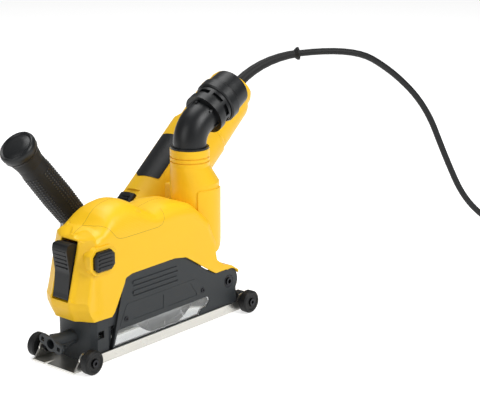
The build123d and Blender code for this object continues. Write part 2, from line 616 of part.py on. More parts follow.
def make_elbow():
    """Swivel elbow with an outer flange on the neck, a stop ring and a slotted cage."""
    _, outlet = elbow_parts()
    bend, out, foot = elbow_form(ELBOW_R)
    body = bend + out + foot
    body += rod_z(NECK_X, 0, NECK_R - 0.4, NECK_TOP + 0.3, NECK_TOP + 2.1)
    body += along(outlet, 25.4, RING_T[0], RING_T[1])
    body += along(outlet, 24.0, RING_T[1], CAGE_T)
    for k in range(CLIPS):
        clip = outlet.offset(RING_T[0] - 5) * Rot(0, 0, 360 / CLIPS * k + 30) * Pos(ELBOW_R + 0.4, 0) * Rectangle(2.6, 2.6)
        body += extrude(clip, amount=6)
    for k in range(CAGE_SLOTS):
        slot = outlet.offset(RING_T[1] + 3.5) * Rot(0, 0, 360 / CAGE_SLOTS * k) * Pos(23, 0) * Rectangle(6, 14)
        body -= extrude(slot, amount=5.5)
    bend_in, out_in, foot_in = elbow_form(ELBOW_R - ELBOW_T)
    body -= bend_in
    body -= foot_in + rod_z(NECK_X, 0, ELBOW_R - ELBOW_T, FOOT_Z - 4, FOOT_Z + 6)
    return body - along(outlet, ELBOW_R - ELBOW_T + 0.3, 0, SPIGOT_T + 1)


COLLAR_T0, COLLAR_T1 = 30.6, 66.0
COLLAR_R = 26.6


def make_collar():
    """Quick-fit hose collar: thick rear band, waist and rolled mouth."""
    _, outlet = elbow_parts()
    bore = ELBOW_R + RUN
    lip = ELBOW_R - 2.0
    return turned(outlet, [(bore, COLLAR_T0), (25.0, COLLAR_T0), (COLLAR_R, COLLAR_T0 + 1.6),
                           (COLLAR_R, COLLAR_T0 + 12), (COLLAR_R - 2.2, COLLAR_T0 + 14),
                           (COLLAR_R - 2.8, COLLAR_T1 - 12), (COLLAR_R - 3.6, COLLAR_T1 - 2),
                           (COLLAR_R - 5.6, COLLAR_T1), (COLLAR_R - 7.4, COLLAR_T1),
                           (COLLAR_R - 7.4, COLLAR_T0 + 10.4), (lip, COLLAR_T0 + 10.4),
                           (lip, COLLAR_T0 + 7.4), (bore, COLLAR_T0 + 7.4)])


# ---------------------------------------------------------------- gear case and spindle
NECK_COLLAR_R = 20.0
COVER_Y0, COVER_Y1 = SHROUD_HALF + SEAT, 44.0
BEARING_LOW = (42.5, 51.5, 14.0)      # y0, y1, outer radius
BEARING_TOP = (86.0, 93.0, 11.0)
SEAT_LOW_R, SEAT_TOP_R = 7.5, 5.0
CROWN_Y = MOTOR_Y - 5.56              # pitch plane of the crown gear


def make_gear_case():
    """Angle head: round case on the spindle, motor throat, handle boss and bearing seats."""
    case = rod_y(SPINDLE_X, SPINDLE_Z, CASE_R, CASE_Y0, CASE_Y1)
    outer_rim = [e for e in case.edges() if abs(e.center().Y - CASE_Y1) < 0.05]
    case = fillet(outer_rim, 7)
    case += along(SHAFT, MOTOR_R - 3.0, 0, GEAR_END)
    case += along(SHAFT, MOTOR_R - 0.6, GEAR_END - 6, GEAR_END)
    case += along(HANDLE, 13.0, 0, 43.0)
    case -= rod_y(SPINDLE_X, SPINDLE_Z, CASE_R + 6, COVER_Y0 - 5, CASE_Y0)
    case -= rod_y(SPINDLE_X, SPINDLE_Z, CASE_R - 4.5, CASE_Y0 - 1, BEARING_TOP[0])
    case -= rod_y(SPINDLE_X, SPINDLE_Z, BEARING_TOP[2], BEARING_TOP[0] - 1, BEARING_TOP[1])
    case -= rod_y(SPINDLE_X, SPINDLE_Z, 7, BEARING_TOP[1] - 1, BEARING_TOP[1] + 3)
    case -= along(SHAFT, 27.0, 8, GEAR_END - 8)
    case -= along(SHAFT, FRONT_BEARING[2], GEAR_END - 10, GEAR_END + 1)
    case -= along(HANDLE, 5.0, 26, 44)
    lock = rod_y(LOCK_X, LOCK_Z, 3.2, 80, CASE_Y1 + 1) + rod_y(LOCK_X, LOCK_Z, 7.4, CASE_Y1 - 3.6, CASE_Y1 + 1)
    case -= lock
    for x, z in case_screw_places():
        case += rod_y(x, z, 4.6, CASE_Y0, CASE_Y0 + 16) - rod_y(SPINDLE_X, SPINDLE_Z, CASE_R - 4.5, 0, 90)
        case -= rod_y(x, z, 1.9, CASE_Y0 - 1, CASE_Y0 + 12)
    return case


FRONT_BEARING = (GEAR_END - 10, GEAR_END - 1.0, 14.0)
REAR_BEARING = (186.0, 194.0, 11.0)
LOCK_X, LOCK_Z = SPINDLE_X - 9.0, SPINDLE_Z - 13.0


def case_screw_places():
    reach = CASE_R - 0.5
    angles = [radians(a) for a in (85.0, 175.0, 265.0, 355.0)]
    return [(SPINDLE_X + reach * cos(a), SPINDLE_Z + reach * sin(a)) for a in angles]


def make_case_cover():
    """Bearing plate between the head and the shroud, with the clamping neck."""
    cover = rod_y(SPINDLE_X, SPINDLE_Z, CASE_R, COVER_Y0, COVER_Y1)
    cover += rod_y(SPINDLE_X, SPINDLE_Z, NECK_COLLAR_R, 23.0, COVER_Y0)
    cover -= rod_y(SPINDLE_X, SPINDLE_Z, BEARING_LOW[2], BEARING_LOW[0], COVER_Y1 + 1)
    cover -= rod_y(SPINDLE_X, SPINDLE_Z, NECK_COLLAR_R - 4, 20, COVER_Y0 + 4)
    cover -= rod_y(SPINDLE_X, SPINDLE_Z, SPINDLE_R + 4.2, 20, COVER_Y1 + 1)
    for x, z in case_screw_places():
        cover += rod_y(x, z, 4.6, COVER_Y0 + 1, COVER_Y1)
        cover -= rod_y(x, z, 2.1, COVER_Y0, COVER_Y1 + 1)
        cover -= rod_y(x, z, 3.5, COVER_Y0, COVER_Y0 + 4.0)
    return cover


def make_case_screws():
    screws = []
    for x, z in case_screw_places():
        screw = rod_y(x, z, 3.3, COVER_Y0 + 1.4, COVER_Y0 + 4.0) + rod_y(x, z, 1.8, COVER_Y0 + 4, CASE_Y0 + 11)
        screws.append(screw - slab(Pos(x, z) * RegularPolygon(1.7, 6), COVER_Y0 + 1, COVER_Y0 + 3))
    return screws


def bearing(plane, t0, t1, r_out, r_in):
    """Sealed ball bearing: outer race, inner race and the shield between them."""
    mid = (r_out + r_in) / 2
    body = along(plane, r_out, t0, t1, r_in)
    groove = Circle(mid + 1.3) - Circle(mid - 1.3)
    body -= extrude(plane.offset(t0 - 1) * groove, amount=1.5)
    return body - extrude(plane.offset(t1 - 0.5) * groove, amount=1.5)


BLADE_AXIS = Plane((SPINDLE_X, 0, SPINDLE_Z), x_dir=(1, 0, 0), z_dir=(0, 1, 0))
FLANGE_Y = DISC_GAP / 2 + DISC_T


def make_spindle():
    """Output spindle: threaded nose, flange shoulder, bearing seats and gear seat."""
    shaft = turned(BLADE_AXIS, [(0, -FLANGE_Y - NUT_T - 1.5), (SPINDLE_R - 1, -FLANGE_Y - NUT_T - 1.5),
                                (SPINDLE_R, -FLANGE_Y - NUT_T - 0.5), (SPINDLE_R, FLANGE_Y + FLANGE_T),
                                (SPINDLE_R + 3, FLANGE_Y + FLANGE_T), (SPINDLE_R + 3, BEARING_LOW[0]),
                                (SEAT_LOW_R, BEARING_LOW[0]), (SEAT_LOW_R, CROWN_Y + 1.5),
                                (SEAT_TOP_R, CROWN_Y + 1.5), (SEAT_TOP_R, BEARING_TOP[1] + 1),
                                (0, BEARING_TOP[1] + 1)])
    flats = block(-10, 10, -FLANGE_Y - 20, FLANGE_Y + 1, SPINDLE_R - 0.8, 20)
    return shaft - Pos(SPINDLE_X, 0, SPINDLE_Z) * flats


def make_inner_flange():
    y0, y1 = FLANGE_Y, FLANGE_Y + FLANGE_T
    flange = turned(BLADE_AXIS, [(SPINDLE_R, y0), (FLANGE_R - 5, y0 + 0.6), (FLANGE_R - 5, y0), (FLANGE_R, y0),
                                 (FLANGE_R, y0 + 3), (FLANGE_R - 6, y1), (SPINDLE_R, y1)])
    return flange


def make_disc(y0):
    """Segmented diamond disc: steel core with slots, and a rim of raised segments."""
    y1 = y0 + DISC_T
    rim = 8.0
    core = ring_y(SPINDLE_X, SPINDLE_Z, DISC_R - rim, SPINDLE_R + 0.05, y0 + 0.35, y1 - 0.35)
    hub = ring_y(SPINDLE_X, SPINDLE_Z, FLANGE_R, SPINDLE_R + 0.05, y0, y1)
    band = ring_y(SPINDLE_X, SPINDLE_Z, DISC_R, DISC_R - rim, y0, y1)
    disc = core + hub + band
    gullets = []
    count = 12
    for k in range(count):
        a = radians(360.0 * k / count)
        way = Vector(cos(a), 0, sin(a))
        spot = Plane((SPINDLE_X, y0 - 1, SPINDLE_Z), x_dir=way, z_dir=(0, 1, 0))
        gullets.append(extrude(spot * Pos(DISC_R - rim / 2, 0) * Rectangle(rim + 5, 1.8), amount=DISC_T + 2))
    return disc - gullets


def make_spacer():
    return ring_y(SPINDLE_X, SPINDLE_Z, FLANGE_R, SPINDLE_R + 0.05, -DISC_GAP / 2, DISC_GAP / 2)


def make_clamp_nut():
    y1 = -FLANGE_Y
    nut = ring_y(SPINDLE_X, SPINDLE_Z, FLANGE_R, SPINDLE_R + 0.05, y1 - NUT_T, y1)
    nut -= ring_y(SPINDLE_X, SPINDLE_Z, FLANGE_R + 1, FLANGE_R - 4, y1 - NUT_T - 1, y1 - NUT_T + 2.6)
    for side in (-1, 1):
        nut -= rod_y(SPINDLE_X + side * 14.0, SPINDLE_Z, 2.2, y1 - NUT_T - 1, y1 - 2)
        nut -= rod_y(SPINDLE_X, SPINDLE_Z + side * 14.0, 2.2, y1 - NUT_T - 1, y1 - 2)
    return nut


# ---------------------------------------------------------------- bevel pair
PINION_R = CROWN_R * PINION_TEETH / CROWN_TEETH
TOOTH_PITCH = 2 * pi * CROWN_R / CROWN_TEETH
ADDENDUM, DEDENDUM = 0.9, 1.3
FACE_W = 7.0
TOOTH_INSET = 0.3         # from the ends of the blank
CONE = atan2(PINION_R, CROWN_R)


def spun(plane, angle):
    """The plane turned about its own normal by an angle in degrees."""
    a = radians(angle)
    return Plane(plane.origin, x_dir=plane.x_dir * cos(a) + plane.y_dir * sin(a), z_dir=plane.z_dir)


def bevel_tooth(plane, cone, inner):
    """Straight tooth on a bevel gear whose cone has its apex at the plane's origin.

    The plane's normal is the gear's axis and the tooth lies along its local x. The two
    end sections scale with their distance from the apex."""
    slant = sqrt(CROWN_R ** 2 + PINION_R ** 2)
    sections = []
    for reach in (slant - inner + TOOTH_INSET, slant - TOOTH_INSET):
        scale = reach / slant
        top, low = ADDENDUM * scale, (DEDENDUM + 0.6) * scale
        half = TOOTH_PITCH * scale * 0.17
        centre = plane.origin + plane.x_dir * (reach * sin(cone)) + plane.z_dir * (reach * cos(cone))
        way = (centre - plane.origin).normalized()
        out = plane.x_dir * cos(cone) - plane.z_dir * sin(cone)
        place = Plane(centre, x_dir=out, z_dir=way)
        sections.append(place * make_face(Polyline((-low, -half * 1.9), (0, -half), (top, -half * 0.5),
                                                   (top, half * 0.5), (0, half), (-low, half * 1.9), close=True)))
    return loft(sections)


def bevel_gear(plane, radius, other, teeth, back, bore, turn):
    """Gear on plane: cone towards the apex at its origin, blank behind the teeth."""
    cone = atan2(radius, other)
    slant = sqrt(radius ** 2 + other ** 2)
    drop = DEDENDUM
    ends = []
    for reach in (slant - FACE_W, slant):
        k = reach / slant
        ends.append((reach * sin(cone) - drop * k * cos(cone), reach * cos(cone) + drop * k * sin(cone)))
    (r0, t0), (r1, t1) = ends
    blank = turned(plane, [(bore, t0), (r0, t0), (r1, t1), (r1 - back * 0.15, t1 + back),
                           (bore, t1 + back)])
    cutters = []
    for k in range(teeth):
        a = 360.0 * k / teeth + turn
        cutters.append(bevel_tooth(spun(plane, a), cone, FACE_W))
    return blank.fuse(*cutters)


CROWN_PLANE = Plane(APEX, x_dir=MOTOR_DIR, z_dir=(0, -1, 0))


def make_crown_gear():
    gear = bevel_gear(CROWN_PLANE, CROWN_R, PINION_R, CROWN_TEETH, 5.0, SEAT_LOW_R, 180.0 / CROWN_TEETH)
    return gear


def make_pinion():
    plane = Plane(APEX, x_dir=(0, -1, 0), z_dir=MOTOR_DIR)
    gear = bevel_gear(plane, PINION_R, CROWN_R, PINION_TEETH, 3.0, 0.0, 0.0)
    return gear


# ---------------------------------------------------------------- motor
CORE_T0, CORE_T1, CORE_R = 84.0, 146.0, 20.0
STATOR_R, STATOR_BORE = 32.6, 20.8
COMMUTATOR = (160.0, 178.0, 12.0)
FAN_T0, FAN_T1, FAN_R = 50.0, 62.0, 29.0
SHAFT_R = 5.0


def make_armature():
    """Motor shaft with its slotted lamination core and the two winding heads."""
    shaft = along(SHAFT, SHAFT_R, CROWN_R + 3.36, 196.0)
    core = along(SHAFT, CORE_R, CORE_T0, CORE_T1)
    cuts = []
    for k in range(12):
        slot = SHAFT.offset(CORE_T0 - 1) * Rot(0, 0, 30 * k) * Pos(CORE_R - 1, 0) * Rectangle(5, 2.2)
        cuts.append(extrude(slot, amount=CORE_T1 - CORE_T0 + 2))
    heads = along(SHAFT, CORE_R - 2.5, CORE_T0 - 10, CORE_T0, r_end=CORE_R - 4)
    heads += along(SHAFT, CORE_R - 4, CORE_T1, CORE_T1 + 11, r_end=CORE_R - 6)
    return shaft + (core - cuts) + heads


def make_commutator():
    t0, t1, r = COMMUTATOR
    drum = along(SHAFT, r, t0, t1, SHAFT_R) + along(SHAFT, r + 2, t0, t0 + 2.5, SHAFT_R)
    cuts = []
    for k in range(24):
        slit = SHAFT.offset(t0 + 3) * Rot(0, 0, 15 * k) * Pos(r, 0) * Rectangle(1.6, 0.5)
        cuts.append(extrude(slit, amount=t1 - t0))
    return drum - cuts


def make_fan():
    hub = along(SHAFT, 9.0, FAN_T0, FAN_T1, SHAFT_R) + along(SHAFT, FAN_R, FAN_T1 - 2, FAN_T1, SHAFT_R)
    for k in range(11):
        blade = SHAFT.offset(FAN_T0) * Rot(0, 0, 360 / 11 * k) * Pos(18, 0) * Rot(0, 0, 24) * Rectangle(20, 1.6)
        hub += extrude(blade, amount=FAN_T1 - FAN_T0 - 1)
    return hub


def make_stator():
    ring = along(SHAFT, STATOR_R, CORE_T0, CORE_T1, STATOR_BORE)
    for side in (0, 180):
        coil = Rot(0, 0, side) * (Circle(30.5) - Circle(21.6) & Pos(26, 0) * Rectangle(18, 46))
        ring += extrude(SHAFT.offset(CORE_T0 - 9) * coil, amount=CORE_T1 - CORE_T0 + 18)
    return ring


def make_housing():
    """Motor housing tube with an inner lip at the gear case and a rear bearing bridge."""
    r_in = MOTOR_R - MOTOR_T
    tube = turned(SHAFT, [(MOTOR_R - 1.0, GEAR_END + SEAT), (MOTOR_R, GEAR_END + 1.2),
                          (MOTOR_R, HOUSING_END - 2), (MOTOR_R - 1.5, HOUSING_END), (r_in, HOUSING_END),
                          (r_in, GEAR_END + 3.5), (FAN_R + 1.0, GEAR_END + SEAT)])
    bridge = along(SHAFT, REAR_BEARING[2] + 2.5, REAR_BEARING[0] - 1, REAR_BEARING[1] + 2, REAR_BEARING[2])
    for k in range(4):
        arm = SHAFT.offset(REAR_BEARING[0]) * Rot(0, 0, 45 + 90 * k) * Pos(24, 0) * Rectangle(23, 4)
        bridge += extrude(arm, amount=8)
    tube += bridge
    tube -= switch_bed()
    slot = SWITCH_PLANE.offset(-12) * Pos(SWITCH_TRAVEL / 2, 0) * SlotOverall(SWITCH_TRAVEL + 7.4, 6.4)
    return tube - extrude(slot, amount=12)


SWITCH_T, SWITCH_TURN = 64.0, 8.0
SWITCH_L, SWITCH_W = 23.0, 25.0
# local frame of the slide switch: x along the motor, z out of the housing
SWITCH_OUT = HANDLE_DIR * cos(radians(SWITCH_TURN)) + Vector(0, 1, 0) * sin(radians(SWITCH_TURN))
SWITCH_PLANE = Plane(APEX + MOTOR_DIR * SWITCH_T + SWITCH_OUT * MOTOR_R, x_dir=MOTOR_DIR, z_dir=SWITCH_OUT)
SWITCH_TRAVEL = 6.0


def switch_bed():
    """Shallow recess that the slide switch runs in."""
    length = SWITCH_L + SWITCH_TRAVEL + 3.0
    bed = SWITCH_PLANE.offset(-2.6) * Pos(SWITCH_TRAVEL / 2, 0) * Rectangle(length, SWITCH_W + 1.2)
    return extrude(bed, amount=12)


def make_slide_switch():
    """Slide button curved to the housing, with cross ribs for the thumb."""
    shell = along(SHAFT, MOTOR_R + 3.2, SWITCH_T - SWITCH_L / 2, SWITCH_T + SWITCH_L / 2)
    foot = SWITCH_PLANE.offset(-2.0) * Rectangle(SWITCH_L, SWITCH_W)
    body = extrude(foot, amount=12) & shell
    for k in range(4):
        rib = SWITCH_PLANE.offset(0.5) * Pos(-6 + 4 * k, 0) * Rectangle(1.6, SWITCH_W - 8)
        body += extrude(rib, amount=3.5)
    stem = along(SWITCH_PLANE, 2.6, -6.5, -1.5)
    return body + stem


MODULE_T0, MODULE_W = 208.0, 30.0
CLAMP_T0, CLAMP_W, CLAMP_H = 254.0, 26.0, -3.0


def make_tail():
    """Rear cover of the motor: eased body, stepped end, air slots and inner ribs."""
    r_in = TAIL_R - MOTOR_T
    t0 = HOUSING_END + SEAT
    tail = turned(TAIL, [(TAIL_R - 0.5, t0), (TAIL_R + 0.6, t0 + 6), (TAIL_R, TAIL_STEP - 6),
                         (TAIL_R - 1.5, TAIL_STEP), (TAIL_END_R + 0.8, TAIL_STEP + 2), (TAIL_END_R, TAIL_END - 8),
                         (TAIL_END_R - 2.4, TAIL_END - 2.4), (TAIL_END_R - 8, TAIL_END),
                         (0, TAIL_END), (0, TAIL_END - MOTOR_T), (TAIL_END_R - MOTOR_T - 1, TAIL_END - MOTOR_T),
                         (TAIL_END_R - MOTOR_T, TAIL_STEP), (r_in, TAIL_STEP - 6), (r_in, t0)])
    collar = turned(SHAFT, [(MOTOR_R - 1.5, t0), (MOTOR_R - 1.5, t0 + 1), (TAIL_R - 1, t0 + 8),
                            (r_in, t0 + 8), (r_in, t0)])
    tail += collar
    tail -= along(TAIL, r_in - 0.2, t0 - 1, t0 + 10)
    cuts = []
    for k in range(5):
        for side in (0, 1):
            place = TAIL.offset(t0 + 14 + 9 * k)
            slot = place * Pos(TAIL_R - 1, (side - 0.5) * 26) * Rectangle(12, 18)
            cuts.append(extrude(slot, amount=3.6))
    tail -= cuts
    hold = along(TAIL, TAIL_R - 1.0, t0, TAIL_STEP - 1)
    for side in (-1, 1):
        tail += carrier(hold, side, MODULE_W / 2 + SEAT, 0, MODULE_T0 + 3, 26)
        tail += carrier(hold, side, CLAMP_W / 2 + SEAT, CLAMP_H, CLAMP_T0 + 1.5, 7)
    return tail - along(SLEEVE, 7.6, -12, 12)


def carrier(hold, side, inner, height, t0, length):
    """Rib inside the tail that a sealed piece is held by, on one side of it."""
    rib = TAIL.offset(t0) * Pos(side * (inner + TAIL_R / 2), height) * Rectangle(TAIL_R, 3.0)
    return extrude(rib, amount=length) & hold


def make_name_panel():
    """Bare black field let into the top of the housing."""
    band = along(SHAFT, MOTOR_R + 0.6, 100, 170, MOTOR_R + 0.08)
    face = outline([(106, -19, 3), (160, -19, 3), (168, -8, 3), (168, 19, 3), (108, 19, 3), (102, 10, 3)])
    top = Plane(APEX, x_dir=MOTOR_DIR, z_dir=HANDLE_DIR)
    cut = extrude(top * face, amount=60)
    return band & cut


def make_port_bracket():
    """Foot that ties the dust port to the motor side, with a screw boss."""
    plate = block(66, 99, 18, SHROUD_HALF, 138, 156)
    plate -= rod_z(PORT_X, 0, PORT_R, 100, 200)
    return plate - rod_y(92.0, 147.0, 1.6, 17, 40)


def make_bearings():
    out = Plane((SPINDLE_X, 0, SPINDLE_Z), x_dir=(1, 0, 0), z_dir=(0, 1, 0))
    return [bearing(out, *BEARING_LOW, SEAT_LOW_R + RUN), bearing(out, *BEARING_TOP, SEAT_TOP_R + RUN),
            bearing(SHAFT, *FRONT_BEARING, SHAFT_R + RUN), bearing(SHAFT, *REAR_BEARING, SHAFT_R + RUN)]


def make_brushes():
    """Two brush holders and their carbons on the commutator."""
    holders, carbons = [], []
    t = (COMMUTATOR[0] + COMMUTATOR[1]) / 2 + 1
    for side in (0, 180):
        spot = SHAFT.offset(t - 4.5)
        holder = extrude(spot * Rot(0, 0, side) * Pos(23.4, 0) * Rectangle(16.8, 9.4), amount=9)
        bore = extrude(spot.offset(1.8) * Rot(0, 0, side) * Pos(23.4, 0) * Rectangle(18, 5.6), amount=5.4)
        holders.append(holder - bore)
        carbon = spot.offset(2.0) * Rot(0, 0, side) * Pos(COMMUTATOR[2] + 0.3 + 7.5, 0) * Rectangle(15, 5.2)
        carbons.append(extrude(carbon, amount=5.0))
    return holders, carbons


def make_switch_module():
    length = 34.0
    body = extrude(TAIL.offset(MODULE_T0) * Pos(0, 4) * Rectangle(MODULE_W, 22), amount=length)
    for side in (-8, 8):
        body += extrude(TAIL.offset(MODULE_T0 + length) * Pos(side, 4) * Rectangle(4, 8), amount=5)
    return body


# ---------------------------------------------------------------- side handle and lock
def make_grip():
    """Side grip: waisted rubber sleeve with fine rings between two flanges."""
    r = GRIP_R
    profile = [(5.2, GRIP_S0), (21.5, GRIP_S0), (22.5, GRIP_S0 + 2), (22.5, GRIP_S0 + 5), (r + 1.0, GRIP_S0 + 10),
               (r - 1.2, GRIP_S0 + 24), (r + 0.4, (GRIP_S0 + GRIP_S1) / 2), (r - 0.6, GRIP_S1 - 18),
               (r + 1.8, GRIP_S1 - 4), (20.6, GRIP_S1), (5.2, GRIP_S1)]
    return turned(HANDLE, profile)


def make_handle_cap():
    """Flat end cap with two shallow rings."""
    s0, s1 = GRIP_S1 + SEAT, HANDLE_END
    return turned(HANDLE, [(0, s0), (20.8, s0), (21.4, s0 + 3), (21.0, s1 - 2), (18.6, s1), (15.0, s1),
                           (14.4, s1 - 0.8), (13.0, s1 - 0.8), (12.4, s1), (8.0, s1), (7.4, s1 - 0.8),
                           (6.0, s1 - 0.8), (5.4, s1), (0, s1)])


def make_handle_stud():
    stud = turned(HANDLE, [(0, 28), (4.9, 28), (4.9, 43.2), (9.0, 43.2), (9.0, GRIP_S0), (4.9, GRIP_S0),
                           (4.9, GRIP_S1 - 4), (0, GRIP_S1 - 4)])
    return stud


def make_lock():
    """Spindle lock: round button and its pin."""
    face = CASE_Y1 + 4.5
    cap = rod_y(LOCK_X, LOCK_Z, 7.0, CASE_Y1 - 0.2, face) + rod_y(LOCK_X, LOCK_Z, 2.8, CROWN_Y + 7.5, CASE_Y1)
    edge = [e for e in cap.edges() if abs(e.center().Y - face) < 0.05]
    return fillet(edge, 1.2)


# ---------------------------------------------------------------- cord
SLEEVE_T, SLEEVE_DROP, SLEEVE_PITCH = TAIL_END - 6, 4.0, 36.0
SLEEVE_L, SLEEVE_TURN = 105.0, 46.0
SLEEVE_WAY = Vector(cos(radians(SLEEVE_PITCH)), 0, sin(radians(SLEEVE_PITCH)))
SLEEVE = Plane(TAIL.origin + MOTOR_DIR * SLEEVE_T - HANDLE_DIR * SLEEVE_DROP, x_dir=(0, 1, 0), z_dir=SLEEVE_WAY)
SLEEVE_LEAN = Vector(0.3, -0.8, -0.46)
SLEEVE_BEND = (SLEEVE_LEAN - SLEEVE_WAY * SLEEVE_LEAN.dot(SLEEVE_WAY)).normalized()


def sleeve_plane(u):
    """Plane across the sleeve at the fraction u of its length."""
    a = radians(SLEEVE_TURN) * u
    r = SLEEVE_L / radians(SLEEVE_TURN)
    spot = SLEEVE.origin + SLEEVE_WAY * (r * sin(a)) + SLEEVE_BEND * (r * (1 - cos(a)))
    return Plane(spot, x_dir=(SLEEVE_BEND.cross(SLEEVE_WAY)), z_dir=SLEEVE_WAY * cos(a) + SLEEVE_BEND * sin(a))


def make_sleeve():
    """Tapered cord sleeve: a collar inside the tail, a bent taper and a flared tip."""
    count = 8
    taper = [sleeve_plane(k / count) * Circle(7.2 - 2.4 * k / count) for k in range(count + 1)]
    body = loft(taper, ruled=True)
    tip = sleeve_plane(1.0)
    flare = along(tip.offset(-6), 5.0, 0, 4, r_end=8.2) + along(tip.offset(-2), 8.2, 0, 2)
    inner = along(SLEEVE, 9.5, -11, -7) + along(SLEEVE, 7.2, -7.5, 0)
    return body + flare + inner


def make_cord_clamp():
    """Bar that grips the cord inside the tail."""
    return extrude(TAIL.offset(CLAMP_T0) * Pos(0, CLAMP_H) * Rectangle(CLAMP_W, 7), amount=10)


FLOOR = GROUND + CORD_D / 2 + 0.1
COIL_X, COIL_Y = 752.0, -62.0
OUTER_TURN = COIL_R + (COIL_COLUMNS - 1) / 2 * CORD_D
STUB = 36.0
PLUG_TURN = -60.0

cord_start = sleeve_plane(1.0).origin
cord_way = sleeve_plane(1.0).z_dir
CORD_ROUTE = [
    cord_start,
    cord_start + cord_way * 70,
    Vector(440, -25, 243),
    Vector(484, -50, 192),
    Vector(512, -64, 122),
    Vector(545, -78, 54),
    Vector(597, -99, 10),
    Vector(664, COIL_Y - OUTER_TURN, FLOOR),
    Vector(COIL_X - STUB, COIL_Y - OUTER_TURN, FLOOR),
]


def cord_radii(route):
    radii = []
    for a, b, c in zip(route, route[1:], route[2:]):
        turn = (b - a).get_angle(c - b)
        short = min((b - a).length, (c - b).length)
        radii.append(0.45 * short / tan(radians(turn) / 2))
    return radii


def make_cord():
    radii = cord_radii(CORD_ROUTE)
    print("cord radii", [round(r) for r in radii])
    path = FilletPolyline(*CORD_ROUTE, radius=radii)
    cord = sweep(Plane(path @ 0, z_dir=path % 0) * Circle(CORD_D / 2), path=path)
    expected = pi * CORD_D ** 2 / 4 * path.length
    turns = COIL_COLUMNS * COIL_LAYERS * 2 * pi * COIL_R
    print("cord volume ratio", round(cord.volume / expected, 4), "tube", round(path.length),
          "whole cord", round(path.length + turns + 2 * STUB))
    return cord


def plug_plane():
    a = radians(PLUG_TURN)
    spot = Vector(COIL_X + OUTER_TURN * cos(a) - STUB * sin(a), COIL_Y + OUTER_TURN * sin(a) + STUB * cos(a),
                  FLOOR + CORD_D)
    return Plane(spot, x_dir=(cos(a), sin(a), 0), z_dir=(-sin(a), cos(a), 0))


def make_coil():
    """Outer form of the wound cord, with the two short ends that leave it."""
    half = COIL_COLUMNS * CORD_D / 2
    ring = Pos(COIL_X, COIL_Y) * (Circle(COIL_R + half) - Circle(COIL_R - half))
    coil = flat(ring, GROUND + 0.1, GROUND + 0.1 + COIL_LAYERS * CORD_D)
    stub_in = Plane((COIL_X - STUB, COIL_Y - OUTER_TURN, FLOOR), z_dir=(1, 0, 0))
    coil += along(stub_in, CORD_D / 2, 0, STUB - 6)
    return coil + along(plug_plane(), CORD_D / 2, -STUB + 6, 0)


def make_plug():
    """Flat two-pin plug lying on the ground, with its tapered sleeve."""
    place = plug_plane()
    sleeve = along(place, CORD_D / 2 + 1.0, 0, 22.5, r_end=CORD_D / 2 + 3.6)
    body = loft([place.offset(22) * RectangleRounded(20, 15, 5), place.offset(32) * RectangleRounded(35, 24.4, 9)])
    body += extrude(place.offset(32) * RectangleRounded(35, 24.4, 9), amount=26)
    pins = []
    for side in (-1, 1):
        pin_place = place.offset(57) * Pos(9.5 * side, 0)
        pins.append(extrude(pin_place * Circle(2.4), amount=20))
    plug = sleeve + body
    for pin in pins:
        plug += pin
    return plug


# ---------------------------------------------------------------- nodes
def build():
    near, far, outer = make_shroud_pair()
    window = make_window()
    roller_front, roller_rear = make_roller(-AXLE_X), make_roller(AXLE_X)
    holders, carbons = make_brushes()
    screw = pivot_screw()
    return {
        "shoe": make_shoe(),
        "front_block": make_front_block(),
        "guide_socket": make_guide_socket(),
        "side_panel_near": make_near_panel(),
        "side_panel_far": make_far_panel(),
        "panel_insert": make_insert(),
        "insert_screws": make_insert_screws(),
        "windows": [window, mirror_y(window)],
        "rear_bracket": make_rear_bracket(),
        "roller_bolts": make_roller_bolts(),
        "pivot_pin": make_pivot_pin(),
        "pivot_screws": [screw, mirror_y(screw)],
        "plunge_spring": make_plunge_spring(),
        "roller_front_near": mirror_y(roller_front),
        "roller_front_far": roller_front,
        "roller_rear_near": mirror_y(roller_rear),
        "roller_rear_far": roller_rear,
        "shroud_near": near,
        "shroud_far": far,
        "shroud_screws": make_shroud_screws(),
        "lever_pin": make_lever_pin(),
        "button_spring": make_button_spring(),
        "release_lever": make_lever(),
        "side_button": make_button(),
        "dust_tube": make_dust_tube(outer),
        "port_bracket": make_port_bracket(),
        "dust_elbow": make_elbow(),
        "hose_collar": make_collar(),
        "gear_case": make_gear_case(),
        "case_cover": make_case_cover(),
        "case_screws": make_case_screws(),
        "bearings": make_bearings(),
        "spindle": make_spindle(),
        "crown_gear": make_crown_gear(),
        "inner_flange": make_inner_flange(),
        "disc_inner": make_disc(DISC_GAP / 2),
        "disc_outer": make_disc(-DISC_GAP / 2 - DISC_T),
        "disc_spacer": make_spacer(),
        "clamp_nut": make_clamp_nut(),
        "pinion": make_pinion(),
        "armature": make_armature(),
        "commutator": make_commutator(),
        "cooling_fan": make_fan(),
        "stator": make_stator(),
        "brush_holders": holders,
        "brushes": carbons,
        "switch_module": make_switch_module(),
        "motor_housing": make_housing(),
        "name_panel": make_name_panel(),
        "slide_switch": make_slide_switch(),
        "tail_cover": make_tail(),
        "handle_grip": make_grip(),
        "handle_cap": make_handle_cap(),
        "handle_stud": make_handle_stud(),
        "spindle_lock": make_lock(),
        "cord_sleeve": make_sleeve(),
        "cord_clamp": make_cord_clamp(),
        "cord": make_cord(),
        "cord_coil": make_coil(),
        "plug": make_plug(),
    }


def save(name, shape):
    solids = []
    for piece in shape if isinstance(shape, list) else [shape]:
        solids.extend(piece.solids())
    node = solids[0] if len(solids) == 1 else Compound(solids)
    node.label = name
    export_step(node, f"parts/{name}.step")


os.makedirs("parts", exist_ok=True)
for name, shape in build().items():
    save(name, shape)
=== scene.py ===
"""Wall chaser: finishes, fine moulded pieces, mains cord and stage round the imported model."""

import json
import math

import bmesh
import bpy
from mathutils import Matrix, Vector
from mathutils.bvhtree import BVHTree


